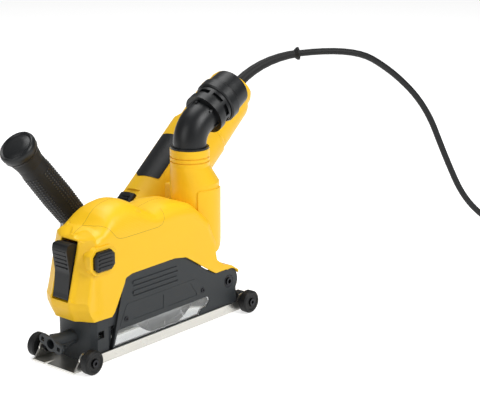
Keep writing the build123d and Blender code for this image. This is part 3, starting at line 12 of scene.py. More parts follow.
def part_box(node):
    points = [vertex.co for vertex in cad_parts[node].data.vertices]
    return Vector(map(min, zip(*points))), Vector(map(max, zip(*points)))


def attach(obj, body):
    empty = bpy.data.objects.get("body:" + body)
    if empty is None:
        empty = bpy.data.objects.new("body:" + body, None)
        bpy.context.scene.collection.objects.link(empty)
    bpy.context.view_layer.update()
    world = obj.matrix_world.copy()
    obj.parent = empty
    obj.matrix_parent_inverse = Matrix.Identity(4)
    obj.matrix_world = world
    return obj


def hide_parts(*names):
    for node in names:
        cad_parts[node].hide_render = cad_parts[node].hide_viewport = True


bl_info = {
    "name": "Wall chaser",
    "version": (1, 0, 0),
    "blender": (4, 5, 0),
    "location": "View3D > Sidebar > Wall chaser",
    "description": "Dresses the wall chaser's packed frame with finishes, fine pieces, cord and stage",
    "category": "Object",
}

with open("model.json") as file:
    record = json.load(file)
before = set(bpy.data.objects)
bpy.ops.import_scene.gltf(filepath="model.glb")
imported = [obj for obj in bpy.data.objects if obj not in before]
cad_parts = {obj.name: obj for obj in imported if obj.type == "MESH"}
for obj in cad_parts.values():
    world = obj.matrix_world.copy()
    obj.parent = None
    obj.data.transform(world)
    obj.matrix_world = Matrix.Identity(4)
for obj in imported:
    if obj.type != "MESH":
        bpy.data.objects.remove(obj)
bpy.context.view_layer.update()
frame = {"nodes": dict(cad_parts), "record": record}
NODES = frame["nodes"]
SLOT_OF = {s["node"]: s["material_slot"] for s in frame["record"]["subparts"]}
GROUND = min(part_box(n)[0][2] for n in NODES if n.startswith("roller_front"))

TILT = math.radians(40.0)
APEX = Vector((0.0135, 0.070, 0.0635))
HANDLE_DIR = Vector((-math.sin(TILT), 0.0, math.cos(TILT)))
GRIP_LOW, GRIP_HIGH = 0.068, 0.176      # studded length of the grip, from the bevel pair's apex
GRIP_PROFILE = [(0.060, 0.0177), (0.074, 0.0155), (0.128, 0.0171), (0.188, 0.0161), (0.202, 0.0185)]
CAP_FACE = 0.218            # outer face of the handle's cap, from the apex


# ---------------------------------------------------------------- sizes and colours
def length(name, text, default):
    return bpy.props.FloatProperty(name=name, description=text, default=default, min=0.0, unit="LENGTH")


def colour(name, text, default):
    return bpy.props.FloatVectorProperty(
        name=name, description=text, default=default, size=3, min=0.0, max=1.0, subtype="COLOR")


class ChaserSizes(bpy.types.PropertyGroup):
    cord_width: length("Cord diameter", "Outer diameter of the mains cord", 0.0084)
    coil_radius: length("Coil radius", "Middle radius of the wound cord", 0.046)
    stud_pitch: length("Stud pitch", "Spacing of the studs along the grip", 0.0038)
    stud_width: length("Stud width", "Diameter of one stud on the grip", 0.0021)
    stud_height: length("Stud height", "How far a stud stands out of the grip", 0.0008)
    seam_width: length("Seam width", "Width of the moulded lines on the hood", 0.0006)


class ChaserColours(bpy.types.PropertyGroup):
    shell: colour("Shell", "Moulded hood, housing and dust port", (0.93, 0.55, 0.013))
    guard: colour("Guard", "Side panels, insert and front block", (0.026, 0.030, 0.033))
    trim: colour("Trim", "Buttons, elbow and handle cap", (0.0065, 0.0075, 0.0085))
    rubber: colour("Rubber", "Grip, rollers and cord", (0.0075, 0.0080, 0.0085))
    plate: colour("Plate", "Folded stainless shoe", (0.62, 0.61, 0.57))


def sizes():
    return bpy.context.scene.chaser_sizes


def colours():
    return bpy.context.scene.chaser_colours


# ---------------------------------------------------------------- shader helpers
def group_of(name, inputs, outputs):
    tree = bpy.data.node_groups.new(name, "ShaderNodeTree")
    for label, kind, value in inputs:
        socket = tree.interface.new_socket(name=label, in_out="INPUT", socket_type=kind)
        if value is not None:
            socket.default_value = value
    for label, kind in outputs:
        tree.interface.new_socket(name=label, in_out="OUTPUT", socket_type=kind)
    return tree, tree.nodes.new("NodeGroupInput"), tree.nodes.new("NodeGroupOutput")


def noise_node(tree, scale, detail):
    node = tree.nodes.new("ShaderNodeTexNoise")
    node.inputs["Scale"].default_value = scale
    node.inputs["Detail"].default_value = detail
    return node


def maths(tree, operation, a, b=None, clamp=False):
    node = tree.nodes.new("ShaderNodeMath")
    node.operation = operation
    node.use_clamp = clamp
    for socket, value in zip(node.inputs, (a, b)):
        if value is None:
            continue
        if isinstance(value, (int, float)):
            socket.default_value = value
        else:
            tree.links.new(value, socket)
    return node.outputs[0]


def make_grain_group():
    """Moulded grain: fine pits for Bump, a soft colour drift and a roughness drift."""
    tree, given, out = group_of(
        "Moulded grain",
        [("Vector", "NodeSocketVector", None), ("Grain Scale", "NodeSocketFloat", 1800.0),
         ("Base", "NodeSocketColor", (1, 1, 1, 1)), ("Drift", "NodeSocketFloat", 0.05),
         ("Roughness", "NodeSocketFloat", 0.4), ("Roughness Drift", "NodeSocketFloat", 0.06)],
        [("Color", "NodeSocketColor"), ("Roughness", "NodeSocketFloat"), ("Height", "NodeSocketFloat")])
    link = tree.links.new
    fine = noise_node(tree, 1.0, 2.0)
    link(given.outputs["Vector"], fine.inputs["Vector"])
    link(given.outputs["Grain Scale"], fine.inputs["Scale"])
    link(fine.outputs["Fac"], out.inputs["Height"])
    cloud = noise_node(tree, 26.0, 3.0)
    link(given.outputs["Vector"], cloud.inputs["Vector"])
    centred = maths(tree, "SUBTRACT", cloud.outputs["Fac"], 0.5)
    gain = maths(tree, "MULTIPLY", centred, given.outputs["Drift"])
    value = tree.nodes.new("ShaderNodeHueSaturation")
    link(given.outputs["Base"], value.inputs["Color"])
    link(maths(tree, "ADD", gain, 1.0), value.inputs["Value"])
    link(value.outputs["Color"], out.inputs["Color"])
    rough = maths(tree, "MULTIPLY", centred, given.outputs["Roughness Drift"])
    link(maths(tree, "ADD", rough, given.outputs["Roughness"], clamp=True), out.inputs["Roughness"])
    return tree


def make_brush_group():
    """Brushed metal: long fine scratches along X and faint smudges."""
    tree, given, out = group_of(
        "Brushed metal",
        [("Vector", "NodeSocketVector", None), ("Base", "NodeSocketColor", (1, 1, 1, 1)),
         ("Roughness", "NodeSocketFloat", 0.3), ("Fineness", "NodeSocketFloat", 900.0)],
        [("Color", "NodeSocketColor"), ("Roughness", "NodeSocketFloat"), ("Height", "NodeSocketFloat")])
    link = tree.links.new
    stretch = tree.nodes.new("ShaderNodeMapping")
    stretch.inputs["Scale"].default_value = (0.02, 1.0, 1.0)
    link(given.outputs["Vector"], stretch.inputs["Vector"])
    scratch = noise_node(tree, 900.0, 3.0)
    link(stretch.outputs["Vector"], scratch.inputs["Vector"])
    link(given.outputs["Fineness"], scratch.inputs["Scale"])
    smudge = noise_node(tree, 34.0, 3.0)
    link(given.outputs["Vector"], smudge.inputs["Vector"])
    link(scratch.outputs["Fac"], out.inputs["Height"])
    tone = tree.nodes.new("ShaderNodeHueSaturation")
    link(given.outputs["Base"], tone.inputs["Color"])
    shift = maths(tree, "MULTIPLY", maths(tree, "SUBTRACT", scratch.outputs["Fac"], 0.5), 0.22)
    link(maths(tree, "ADD", shift, 1.0), tone.inputs["Value"])
    link(tone.outputs["Color"], out.inputs["Color"])
    drift = maths(tree, "MULTIPLY", maths(tree, "SUBTRACT", smudge.outputs["Fac"], 0.5), 0.25)
    link(maths(tree, "ADD", drift, given.outputs["Roughness"], clamp=True), out.inputs["Roughness"])
    return tree


def start_material(name):
    material = bpy.data.materials.new(name)
    material.use_nodes = True
    tree = material.node_tree
    tree.nodes.clear()
    shader = tree.nodes.new("ShaderNodeBsdfPrincipled")
    out = tree.nodes.new("ShaderNodeOutputMaterial")
    tree.links.new(shader.outputs["BSDF"], out.inputs["Surface"])
    place = tree.nodes.new("ShaderNodeTexCoord")
    return material, tree, shader, place.outputs["Object"]


def add_bump(tree, shader, height, strength, distance):
    bump = tree.nodes.new("ShaderNodeBump")
    bump.inputs["Strength"].default_value = strength
    bump.inputs["Distance"].default_value = distance
    tree.links.new(height, bump.inputs["Height"])
    tree.links.new(bump.outputs["Normal"], shader.inputs["Normal"])


def moulded(name, base, roughness, grain=1800.0, depth=0.00006, strength=0.5, drift=0.05, specular=0.5):
    """Plastic or rubber with the shared moulded grain."""
    material, tree, shader, where = start_material(name)
    group = tree.nodes.new("ShaderNodeGroup")
    group.node_tree = bpy.data.node_groups["Moulded grain"]
    tree.links.new(where, group.inputs["Vector"])
    group.inputs["Grain Scale"].default_value = grain
    group.inputs["Base"].default_value = (*base, 1.0)
    group.inputs["Drift"].default_value = drift
    group.inputs["Roughness"].default_value = roughness
    tree.links.new(group.outputs["Color"], shader.inputs["Base Color"])
    tree.links.new(group.outputs["Roughness"], shader.inputs["Roughness"])
    shader.inputs["Specular IOR Level"].default_value = specular
    add_bump(tree, shader, group.outputs["Height"], strength, depth)
    return material


RIB_PITCH = 0.0017
RIB_FIELD = ((-0.078, -0.014), (0.1352, 0.158))      # where the fine ribs lie, along and up the hood


def ribbed_shell(name, base):
    """Shell plastic with a field of fine moulded ribs over the near shoulder."""
    material = moulded(name, base, 0.38, grain=1500.0, depth=0.00005, drift=0.05, specular=0.32)
    tree = material.node_tree
    where = next(n for n in tree.nodes if n.type == "TEX_COORD").outputs["Object"]
    bump = next(n for n in tree.nodes if n.type == "BUMP")
    parts = tree.nodes.new("ShaderNodeSeparateXYZ")
    tree.links.new(where, parts.inputs["Vector"])
    mask = None
    for axis, (low, high) in zip("XZ", RIB_FIELD):
        for edge, sign in ((low, 1.0), (high, -1.0)):
            inside = maths(tree, "MULTIPLY", maths(tree, "SUBTRACT", parts.outputs[axis], edge), sign * 900.0,
                           clamp=True)
            mask = inside if mask is None else maths(tree, "MULTIPLY", mask, inside)
    wave = maths(tree, "SINE", maths(tree, "MULTIPLY", parts.outputs["Z"], 2 * math.pi / RIB_PITCH))
    ribs = maths(tree, "MULTIPLY", maths(tree, "MULTIPLY", wave, mask), 1.6)
    grain = bump.inputs["Height"].links[0].from_socket
    tree.links.new(maths(tree, "ADD", grain, ribs), bump.inputs["Height"])
    return material


def metal(name, base, roughness, fineness=900.0, depth=0.00002):
    """Bare metal with the shared brushed finish."""
    material, tree, shader, where = start_material(name)
    group = tree.nodes.new("ShaderNodeGroup")
    group.node_tree = bpy.data.node_groups["Brushed metal"]
    tree.links.new(where, group.inputs["Vector"])
    group.inputs["Base"].default_value = (*base, 1.0)
    group.inputs["Roughness"].default_value = roughness
    group.inputs["Fineness"].default_value = fineness
    tree.links.new(group.outputs["Color"], shader.inputs["Base Color"])
    tree.links.new(group.outputs["Roughness"], shader.inputs["Roughness"])
    shader.inputs["Metallic"].default_value = 1.0
    add_bump(tree, shader, group.outputs["Height"], 0.35, depth)
    return material


def clear_sheet(name):
    """Clear polycarbonate with a faint milky drift."""
    material, tree, shader, where = start_material(name)
    haze = noise_node(tree, 60.0, 3.0)
    tree.links.new(where, haze.inputs["Vector"])
    rough = maths(tree, "ADD", maths(tree, "MULTIPLY", haze.outputs["Fac"], 0.10), 0.04)
    tree.links.new(rough, shader.inputs["Roughness"])
    shader.inputs["Base Color"].default_value = (0.86, 0.88, 0.88, 1.0)
    shader.inputs["Transmission Weight"].default_value = 0.9
    shader.inputs["IOR"].default_value = 1.3
    return material


FINISH = {}


def make_finishes():
    make_grain_group()
    make_brush_group()
    c = colours()
    FINISH.update({
        "yellow_shell": moulded("shell moulding", c.shell, 0.38, grain=1500.0, depth=0.00005, drift=0.05,
                                specular=0.32),
        "ribbed_shell": ribbed_shell("ribbed shell moulding", c.shell),
        "grey_plastic": moulded("guard moulding", c.guard, 0.50, grain=1300.0, depth=0.00009, drift=0.14,
                                specular=0.3),
        "dark_plastic": moulded("trim moulding", c.trim, 0.38, grain=1600.0, depth=0.00007, drift=0.2,
                                specular=0.35),
        "rubber": moulded("grip rubber", c.rubber, 0.55, grain=1400.0, depth=0.0001, drift=0.25, specular=0.3),
        # studs: the grip rubber at twice its colour, a painted highlight so that the studs read lit; their gloss is
        # real
        "stud_highlight_rubber": moulded("stud highlight rubber", tuple(2.0 * k for k in c.rubber), 0.30, grain=1400.0, depth=0.00002,
                               drift=0.1, specular=0.8),
        "stainless": metal("folded stainless", c.plate, 0.30),
        "steel": metal("turned steel", (0.42, 0.42, 0.43), 0.28, fineness=1400.0),
        "blackened_steel": metal("blackened steel", (0.035, 0.036, 0.040), 0.38, fineness=1400.0),
        "cast_aluminium": moulded("coated casting", (0.022, 0.023, 0.026), 0.45, grain=700.0,
                                  depth=0.00018, drift=0.15),
        "disc_steel": metal("ground disc", (0.34, 0.34, 0.35), 0.34),
        "laminations": metal("stacked laminations", (0.22, 0.22, 0.23), 0.45),
        "copper": metal("turned copper", (0.72, 0.38, 0.20), 0.25),
        "carbon": moulded("pressed carbon", (0.03, 0.03, 0.032), 0.6),
        "clear_plastic": clear_sheet("clear window"),
        # moulded lines: the shell colour at 0.45, painted shade of the groove along each line
        "seam_painted_shade": moulded("moulded line", tuple(0.45 * k for k in c.shell), 0.6),
    })


def dress(piece, finish):
    """Give a piece one material."""
    piece.data.materials.clear()
    piece.data.materials.append(FINISH[finish])


def new_piece(name, bm, finish, body, angle=40):
    """Turn a bmesh, in metres in the row frame, into a piece riding on a body."""
    bmesh.ops.recalc_face_normals(bm, faces=bm.faces)
    mesh = bpy.data.meshes.new(name)
    bm.to_mesh(mesh)
    bm.free()
    mesh.shade_smooth()
    mesh.set_sharp_from_angle(angle=math.radians(angle))
    piece = bpy.data.objects.new(name, mesh)
    bpy.context.scene.collection.objects.link(piece)
    dress(piece, finish)
    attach(piece, body)
    return piece


# ---------------------------------------------------------------- operators
class CHASER_OT_finishes(bpy.types.Operator):
    """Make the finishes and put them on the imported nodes"""

    bl_idname = "chaser.finishes"
    bl_label = "Finishes"

    def execute(self, context):
        make_finishes()
        for name, node in NODES.items():
            dress(node, SLOT_OF[name])
        return {"FINISHED"}


def grip_radius(s):
    """Radius of the grip at the distance s from the apex."""
    for (s0, r0), (s1, r1) in zip(GRIP_PROFILE, GRIP_PROFILE[1:]):
        if s <= s1:
            return r0 + (r1 - r0) * (s - s0) / (s1 - s0)
    return GRIP_PROFILE[-1][1]


def handle_place(s):
    """Frame on the handle's axis at the distance s, z along the handle."""
    side = Vector((0.0, 1.0, 0.0))
    turn = Matrix((side, HANDLE_DIR.cross(side), HANDLE_DIR)).transposed().to_4x4()
    return Matrix.Translation(APEX + HANDLE_DIR * s) @ turn


PANEL_COUNT = 3             # studded fields round the grip
PANEL_START = 174.0         # degrees at which the first field starts
PANEL_SPAN = 78.0
ROWS = 7
STUD_SIDES = 8
STUD_TIP = 0.36             # radius of a stud's end, of its diameter
STUD_ROOT = 0.0003          # how far a stud starts inside the grip
CAP_DEPTH = 0.0118          # from the cap's outer face to its inner one
CAP_STEPS = 72
WELD = 0.000005             # distance within which vertices are one


class CHASER_OT_grip(bpy.types.Operator):
    """Stud the grip in three fields and dome the cap at its end"""

    bl_idname = "chaser.grip"
    bl_label = "Grip studs and cap"

    def execute(self, context):
        s = sizes()
        bm = bmesh.new()
        steps = int((GRIP_HIGH - GRIP_LOW) / s.stud_pitch)
        for field in range(PANEL_COUNT):
            for row in range(ROWS):
                angle = math.radians(PANEL_START + 360.0 / PANEL_COUNT * field + PANEL_SPAN / (ROWS - 1) * row)
                for step in range(steps + 1):
                    along = GRIP_LOW + s.stud_pitch * step
                    out = Matrix.Rotation(angle, 4, "Z") @ Matrix.Rotation(math.pi / 2, 4, "Y")
                    spot = Matrix.Translation((0.0, 0.0, grip_radius(along) - STUD_ROOT))
                    lie = handle_place(along) @ out @ spot
                    high = s.stud_height + STUD_ROOT
                    bmesh.ops.create_cone(bm, cap_ends=True, segments=STUD_SIDES, radius1=s.stud_width / 2,
                                          radius2=s.stud_width * STUD_TIP, depth=high,
                                          matrix=lie @ Matrix.Translation((0.0, 0.0, high / 2)))
        # the studs wear the lightened rubber, a painted highlight
        studs = new_piece("grip_studs", bm, "stud_highlight_rubber", "upper")

        bm = bmesh.new()
        inner = CAP_FACE - CAP_DEPTH
        profile = [(0.0, CAP_FACE - 0.0010), (0.0080, CAP_FACE - 0.0012), (0.0150, CAP_FACE - 0.0019),
                   (0.0158, CAP_FACE - 0.0026), (0.0166, CAP_FACE - 0.0028), (0.0174, CAP_FACE - 0.0020),
                   (0.0190, CAP_FACE - 0.0014), (0.0204, CAP_FACE - 0.0022), (0.0213, CAP_FACE - 0.0045),
                   (0.0213, CAP_FACE - 0.0075), (0.0206, CAP_FACE - 0.0100), (0.0203, inner), (0.0, inner)]
        spin_profile(bm, profile, CAP_STEPS)
        cap = new_piece("domed_cap", bm, "dark_plastic", "upper")
        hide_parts("handle_cap")
        return {"FINISHED"}


def spin_profile(bm, profile, steps):
    """Spin (radius, distance) corners round the handle's axis into a closed form."""
    place = handle_place(0.0)
    verts = [bm.verts.new(place @ Vector((r, 0.0, d))) for r, d in profile]
    edges = [bm.edges.new(pair) for pair in zip(verts, verts[1:])]
    bmesh.ops.spin(bm, geom=verts + edges, cent=APEX, axis=HANDLE_DIR, angle=2 * math.pi, steps=steps,
                   use_merge=True)
    bmesh.ops.remove_doubles(bm, verts=bm.verts, dist=WELD)


CORD_ROUTE = [
    (0.31970, 0.03706, 0.27463), (0.37578, -0.00447, 0.28017), (0.440, -0.025, 0.243), (0.484, -0.050, 0.192),
    (0.512, -0.064, 0.122), (0.545, -0.078, 0.054), (0.597, -0.099, 0.010), (0.664, -0.1164, 0.0018),
    (0.716, -0.1164, 0.0018),
]
COIL_CENTRE = Vector((0.752, -0.062, 0.0018))
COIL_STEPS = 14             # control points in one turn
COIL_SHIFT = 3              # control points over which a turn moves to its next place
PLUG_EXIT = Vector((0.810377, -0.0911118, 0.0102))


def coil_points(radius, width):
    """Control points of the wound cord, outer turn first, cell by cell to its way out."""
    cells = [(1, 0), (0, 0), (-1, 0), (-1, 1), (-1, 2), (-1, 3), (0, 3), (1, 3), (1, 2), (0, 2), (0, 1), (1, 1)]
    reach = 1.0 / math.cos(math.pi / COIL_STEPS)
    points = []
    total = len(cells) * COIL_STEPS + COIL_STEPS // 12 + 1
    for k in range(total):
        turn, step = divmod(k, COIL_STEPS)
        cell = cells[min(turn, len(cells) - 1)]
        after = cells[min(turn + 1, len(cells) - 1)]
        mix = min(1.0, max(0.0, (step - COIL_STEPS + COIL_SHIFT) / COIL_SHIFT))
        column = cell[0] + (after[0] - cell[0]) * mix
        layer = cell[1] + (after[1] - cell[1]) * mix
        angle = -math.pi / 2 + 2 * math.pi * k / COIL_STEPS
        r = (radius + column * width) * reach
        points.append(COIL_CENTRE + Vector((r * math.cos(angle), r * math.sin(angle), layer * width)))
    return points


class CHASER_OT_cord(bpy.types.Operator):
    """Lay the mains cord from its sleeve over the floor to the wound rest and its plug"""

    bl_idname = "chaser.cord"
    bl_label = "Mains cord"

    def execute(self, context):
        s = sizes()
        points = [Vector(p) for p in CORD_ROUTE]
        points += coil_points(s.coil_radius, s.cord_width)
        points.append(PLUG_EXIT)
        curve = bpy.data.curves.new("mains_cord", "CURVE")
        curve.dimensions = "3D"
        curve.bevel_depth = s.cord_width / 2
        curve.bevel_resolution = 4
        curve.resolution_u = 8
        curve.use_fill_caps = True
        line = curve.splines.new("NURBS")
        line.points.add(len(points) - 1)
        for spot, p in zip(line.points, points):
            spot.co = (*p, 1.0)
        line.order_u = 3
        line.use_endpoint_u = True
        cord = bpy.data.objects.new("mains_cord", curve)
        bpy.context.scene.collection.objects.link(cord)
        curve.materials.append(FINISH["rubber"])
        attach(cord, "upper")
        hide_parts("cord", "cord_coil")
        return {"FINISHED"}


# ---------------------------------------------------------------- hood
DOME_BASE = 0.1362          # height above which the hood is domed
HOOD_HALF = 0.033
OLD_CREST = [(-0.1160, 0.1375), (-0.1115, 0.1635), (-0.0860, 0.1715), (-0.0460, 0.1710), (-0.0155, 0.1510),
             (0.0120, 0.1565), (0.0460, 0.1465), (0.0760, 0.1220), (0.0875, 0.0970)]
NEW_CREST = [(-0.1160, 0.1375), (-0.1130, 0.1415), (-0.1080, 0.1440), (-0.0980, 0.1475), (-0.0920, 0.1530),
             (-0.0860, 0.1595), (-0.0790, 0.1640), (-0.0700, 0.1672), (-0.0580, 0.1688), (-0.0460, 0.1685),
             (-0.0155, 0.1500), (0.0120, 0.1545), (0.0460, 0.1465), (0.0760, 0.1220), (0.0875, 0.0970)]
CREST_CORNER = 0.014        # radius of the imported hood's crown edges
DOME_POWER = 2.5            # 2 is an ellipse across the hood, more is squarer
CHIN = [(0.048, -0.0032), (0.056, -0.0034), (0.0635, -0.0032), (0.0695, -0.0012), (0.073, -0.0005), (0.078, 0.0)]
VALLEY = [(0.056, -0.1080), (0.085, -0.1100), (0.136, -0.1040)]
VALLEY_FORE, VALLEY_AFT, VALLEY_DEPTH = 0.0085, 0.0036, 0.0020
SCREW_RISE = 0.35           # how far up the dome a screw may sit, of its height
BOSS = (-0.1015, 0.1163)    # button frame on the near side, left as packed
CORNER_IN, CORNER_OUT, CORNER_BACK = 0.0140, 0.0185, 0.0016
CORNER_RUN = (0.108, 0.122)  # how far forward the corner starts to turn in, and where it does in full
CHIN_RUN = (0.108, 0.120)
DOME_END = (0.015, 0.048)   # along the hood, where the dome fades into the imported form
BOSS_RUN = (0.0185, 0.0225)  # round the button frame, from none of the forming to all of it
BOSS_LENGTHEN = 0.9
SIDE_FROM = (0.022, 0.031)  # half-widths between which the side's valley sets in
SIDE_LOW, SIDE_HIGH = (0.054, 0.062), (0.134, 0.146)
GRID, GRID_ACROSS = 0.003, 0.004        # spacing of the cuts that let the hood bend
CUTS_ALONG, CUTS_UP, CUTS_ACROSS = (-0.1335, 0.048), (0.0515, 0.171), (0.004, 0.032)
HOOD_SHARP = 28             # degrees over which the hood's edges stay sharp
SCREW_WELD = 0.000002
TINY = 1e-9


def between(table, at):
    """Value read from (place, value) pairs, held at both ends."""
    if at <= table[0][0]:
        return table[0][1]
    for (a, va), (b, vb) in zip(table, table[1:]):
        if at <= b:
            return va + (vb - va) * (at - a) / (b - a)
    return table[-1][1]


def eased(low, high, at):
    t = min(1.0, max(0.0, (at - low) / (high - low)))
    return t * t * (3.0 - 2.0 * t)


def box_reach(way_y, way_z, half, high, corner):
    """Distance from the dome's base to a rounded rectangle, along a unit direction."""
    corner = min(corner, high * 0.9)
    flat = min(half / max(way_y, TINY), high / max(way_z, TINY))
    if flat * way_y <= half - corner or flat * way_z <= high - corner:
        return flat
    cy, cz = half - corner, high - corner
    along = way_y * cy + way_z * cz
    return along + math.sqrt(max(0.0, along * along - cy * cy - cz * cz + corner * corner))


def dome_reach(way_y, way_z, half, high):
    share = (way_y / half) ** DOME_POWER + (way_z / high) ** DOME_POWER
    return share ** (-1.0 / DOME_POWER)


def formed(p, outer=True):
    """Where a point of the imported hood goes: domed crown, ledge over the lever, chin and side valley.

    Chin, corner and valley move the outer skin alone, so that what runs inside keeps its room.
    """
    x, y, z = p
    if z > DOME_BASE:
        old, new = between(OLD_CREST, x) - DOME_BASE, between(NEW_CREST, x) - DOME_BASE
        reach = math.hypot(y, z - DOME_BASE)
        if old > 0.001 and reach > 1e-6:
            way_y, way_z = abs(y) / reach, (z - DOME_BASE) / reach
            share = dome_reach(way_y, way_z, HOOD_HALF, new) / box_reach(way_y, way_z, HOOD_HALF, old, CREST_CORNER)
            share = 1.0 + (share - 1.0) * (1.0 - eased(*DOME_END, x))
            y, z = y * share, DOME_BASE + (z - DOME_BASE) * share
    boss = eased(*BOSS_RUN, math.hypot((p[0] - BOSS[0]) * BOSS_LENGTHEN, p[2] - BOSS[1])) if p[1] < 0 else 1.0
    if outer and x < -CHIN_RUN[0]:
        x += between(CHIN, z) * eased(*CHIN_RUN, -x)
        turned = min(1.0, max(0.0, (abs(y) - CORNER_IN) / (CORNER_OUT - CORNER_IN)))
        x += CORNER_BACK * turned * boss * eased(*CORNER_RUN, -p[0])
    side = eased(*SIDE_FROM, abs(p[1])) * eased(*SIDE_LOW, p[2]) * (1.0 - eased(*SIDE_HIGH, p[2]))
    if outer and side:
        off = p[0] - between(VALLEY, p[2])
        off /= VALLEY_AFT if off > 0 else VALLEY_FORE
        y -= math.copysign(VALLEY_DEPTH * math.exp(-off * off) * side * boss, y)
    return Vector((x, y, z))


def cut_in_grid(bm, axis, low, high, step):
    """Cut a mesh by planes across one axis, so that its flat faces can bend."""
    count = int(round((high - low) / step))
    normal = Vector((0.0, 0.0, 0.0))
    normal[axis] = 1.0
    for k in range(count + 1):
        bmesh.ops.bisect_plane(bm, geom=bm.verts[:] + bm.edges[:] + bm.faces[:], dist=1e-7,
                               plane_co=normal * (low + step * k), plane_no=normal)


def islands(bm):
    """Lists of the vertices that hang together, in the mesh's own order."""
    seen, found = set(), []
    for start in bm.verts:
        if start in seen:
            continue
        seen.add(start)
        island = [start]
        for vert in island:
            for link in vert.link_edges:
                other = link.other_vert(vert)
                if other not in seen:
                    seen.add(other)
                    island.append(other)
        found.append(island)
    return found


class CHASER_OT_hood(bpy.types.Operator):
    """Form both halves of the hood: dome, ledge, chin and valleys"""

    bl_idname = "chaser.hood"
    bl_label = "Hood"

    def execute(self, context):
        for node, name, finish in (("shroud_near", "hood_near", "ribbed_shell"),
                                   ("shroud_far", "hood_far", "yellow_shell")):
            bm = bmesh.new()
            bm.from_mesh(NODES[node].data)
            bmesh.ops.remove_doubles(bm, verts=bm.verts, dist=WELD)
            side = -1.0 if node.endswith("near") else 1.0
            cut_in_grid(bm, 0, *CUTS_ALONG, GRID)
            cut_in_grid(bm, 2, *CUTS_UP, GRID)
            low, high = sorted(side * edge for edge in CUTS_ACROSS)
            cut_in_grid(bm, 1, low, high, GRID_ACROSS)
            bm.normal_update()
            faces_out = [v.normal.x < -0.05 or v.normal.y * side > 0.3 for v in bm.verts]
            for vert, outer in zip(bm.verts, faces_out):
                vert.co = formed(vert.co, outer)
            half = new_piece(name, bm, finish, "upper", angle=HOOD_SHARP)
            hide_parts(node)
        bm = bmesh.new()
        bm.from_mesh(NODES["shroud_screws"].data)
        bmesh.ops.remove_doubles(bm, verts=bm.verts, dist=SCREW_WELD)
        for island in islands(bm):
            middle = sum((v.co for v in island), Vector()) / len(island)
            high = between(NEW_CREST, middle.x) - DOME_BASE
            rise = min(middle.z - DOME_BASE, SCREW_RISE * high)
            shift = Vector((0.0, 0.0, 0.0))
            if rise > 0.0:
                skin_y = HOOD_HALF * (1.0 - (rise / high) ** DOME_POWER) ** (1.0 / DOME_POWER)
                shift = Vector((0.0, skin_y - HOOD_HALF, DOME_BASE + rise - middle.z))
            for vert in island:
                vert.co += shift
        screws = new_piece("hood_screws", bm, "steel", "upper")
        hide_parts("shroud_screws")
        return {"FINISHED"}


# inner lip behind the hood's lower rear corner, on each side: low and high corner on the far side
LIP_ROUND = 0.0008
LIP = ((-0.0960, 0.0245, 0.0360), (-0.0740, 0.0275, 0.0540))


class CHASER_OT_lips(bpy.types.Operator):
    """Stand the dark inner lips behind the hood's lower corners"""

    bl_idname = "chaser.lips"
    bl_label = "Inner lips"

    def execute(self, context):
        low, high = Vector(LIP[0]), Vector(LIP[1])
        for side, name in ((-1.0, "lip_near"), (1.0, "lip_far")):
            bm = bmesh.new()
            bmesh.ops.create_cube(bm, size=1.0)
            bmesh.ops.scale(bm, vec=high - low, verts=bm.verts)
            bmesh.ops.bevel(bm, geom=bm.edges[:], offset=LIP_ROUND, offset_type="OFFSET", segments=2,
                            profile=0.5, affect="EDGES", material=-1)
            middle = (low + high) / 2
            bmesh.ops.translate(bm, verts=bm.verts, vec=(middle.x, middle.y * side, middle.z))
            new_piece(name, bm, "grey_plastic", "base")
        return {"FINISHED"}


# lines moulded into the hood: distance along it, and turn from its crown to the near side
HOOD_CORE = 0.110           # height of the line that the turns are taken round
SEAM_STEP = 0.0015
SEAM_ARM = 0.05             # mean radius by which a turn counts as a length
SEAM_LIFT = 0.00004
SEAM_SECTION = ((-1.0, -0.9), (-0.7, 0.1), (0.7, 0.1), (1.0, -0.9))     # across and out, in half widths
OUTSIDE = 0.2               # how far off the hood a ray starts
SEAMS = {
    "parting_line": [(-0.1130, 0.7), (-0.0800, 0.7), (-0.0460, 0.7), (-0.0160, 0.7), (0.0140, 0.7), (0.0440, 0.7)],
    "side_seam": [(-0.0975, 1.0), (-0.0970, 10.0), (-0.0950, 22.0), (-0.0910, 33.0), (-0.0860, 43.0),
                  (-0.0790, 51.5), (-0.0740, 54.0), (-0.0660, 55.0), (-0.0155, 54.6), (-0.0080, 52.5),
                  (-0.0040, 46.0), (-0.0020, 38.0), (0.0000, 28.0)],
}


def skin_of(piece):
    bm = bmesh.new()
    bm.from_mesh(piece.data)
    skin = BVHTree.FromBMesh(bm)
    bm.free()
    return skin


def on_hood(skin, along, turn):
    """Spot and normal where a ray towards the hood's core meets its skin."""
    inward = Vector((0.0, math.sin(math.radians(turn)), -math.cos(math.radians(turn))))
    return skin.ray_cast(Vector((along, 0.0, HOOD_CORE)) - inward * OUTSIDE, inward)[:2]


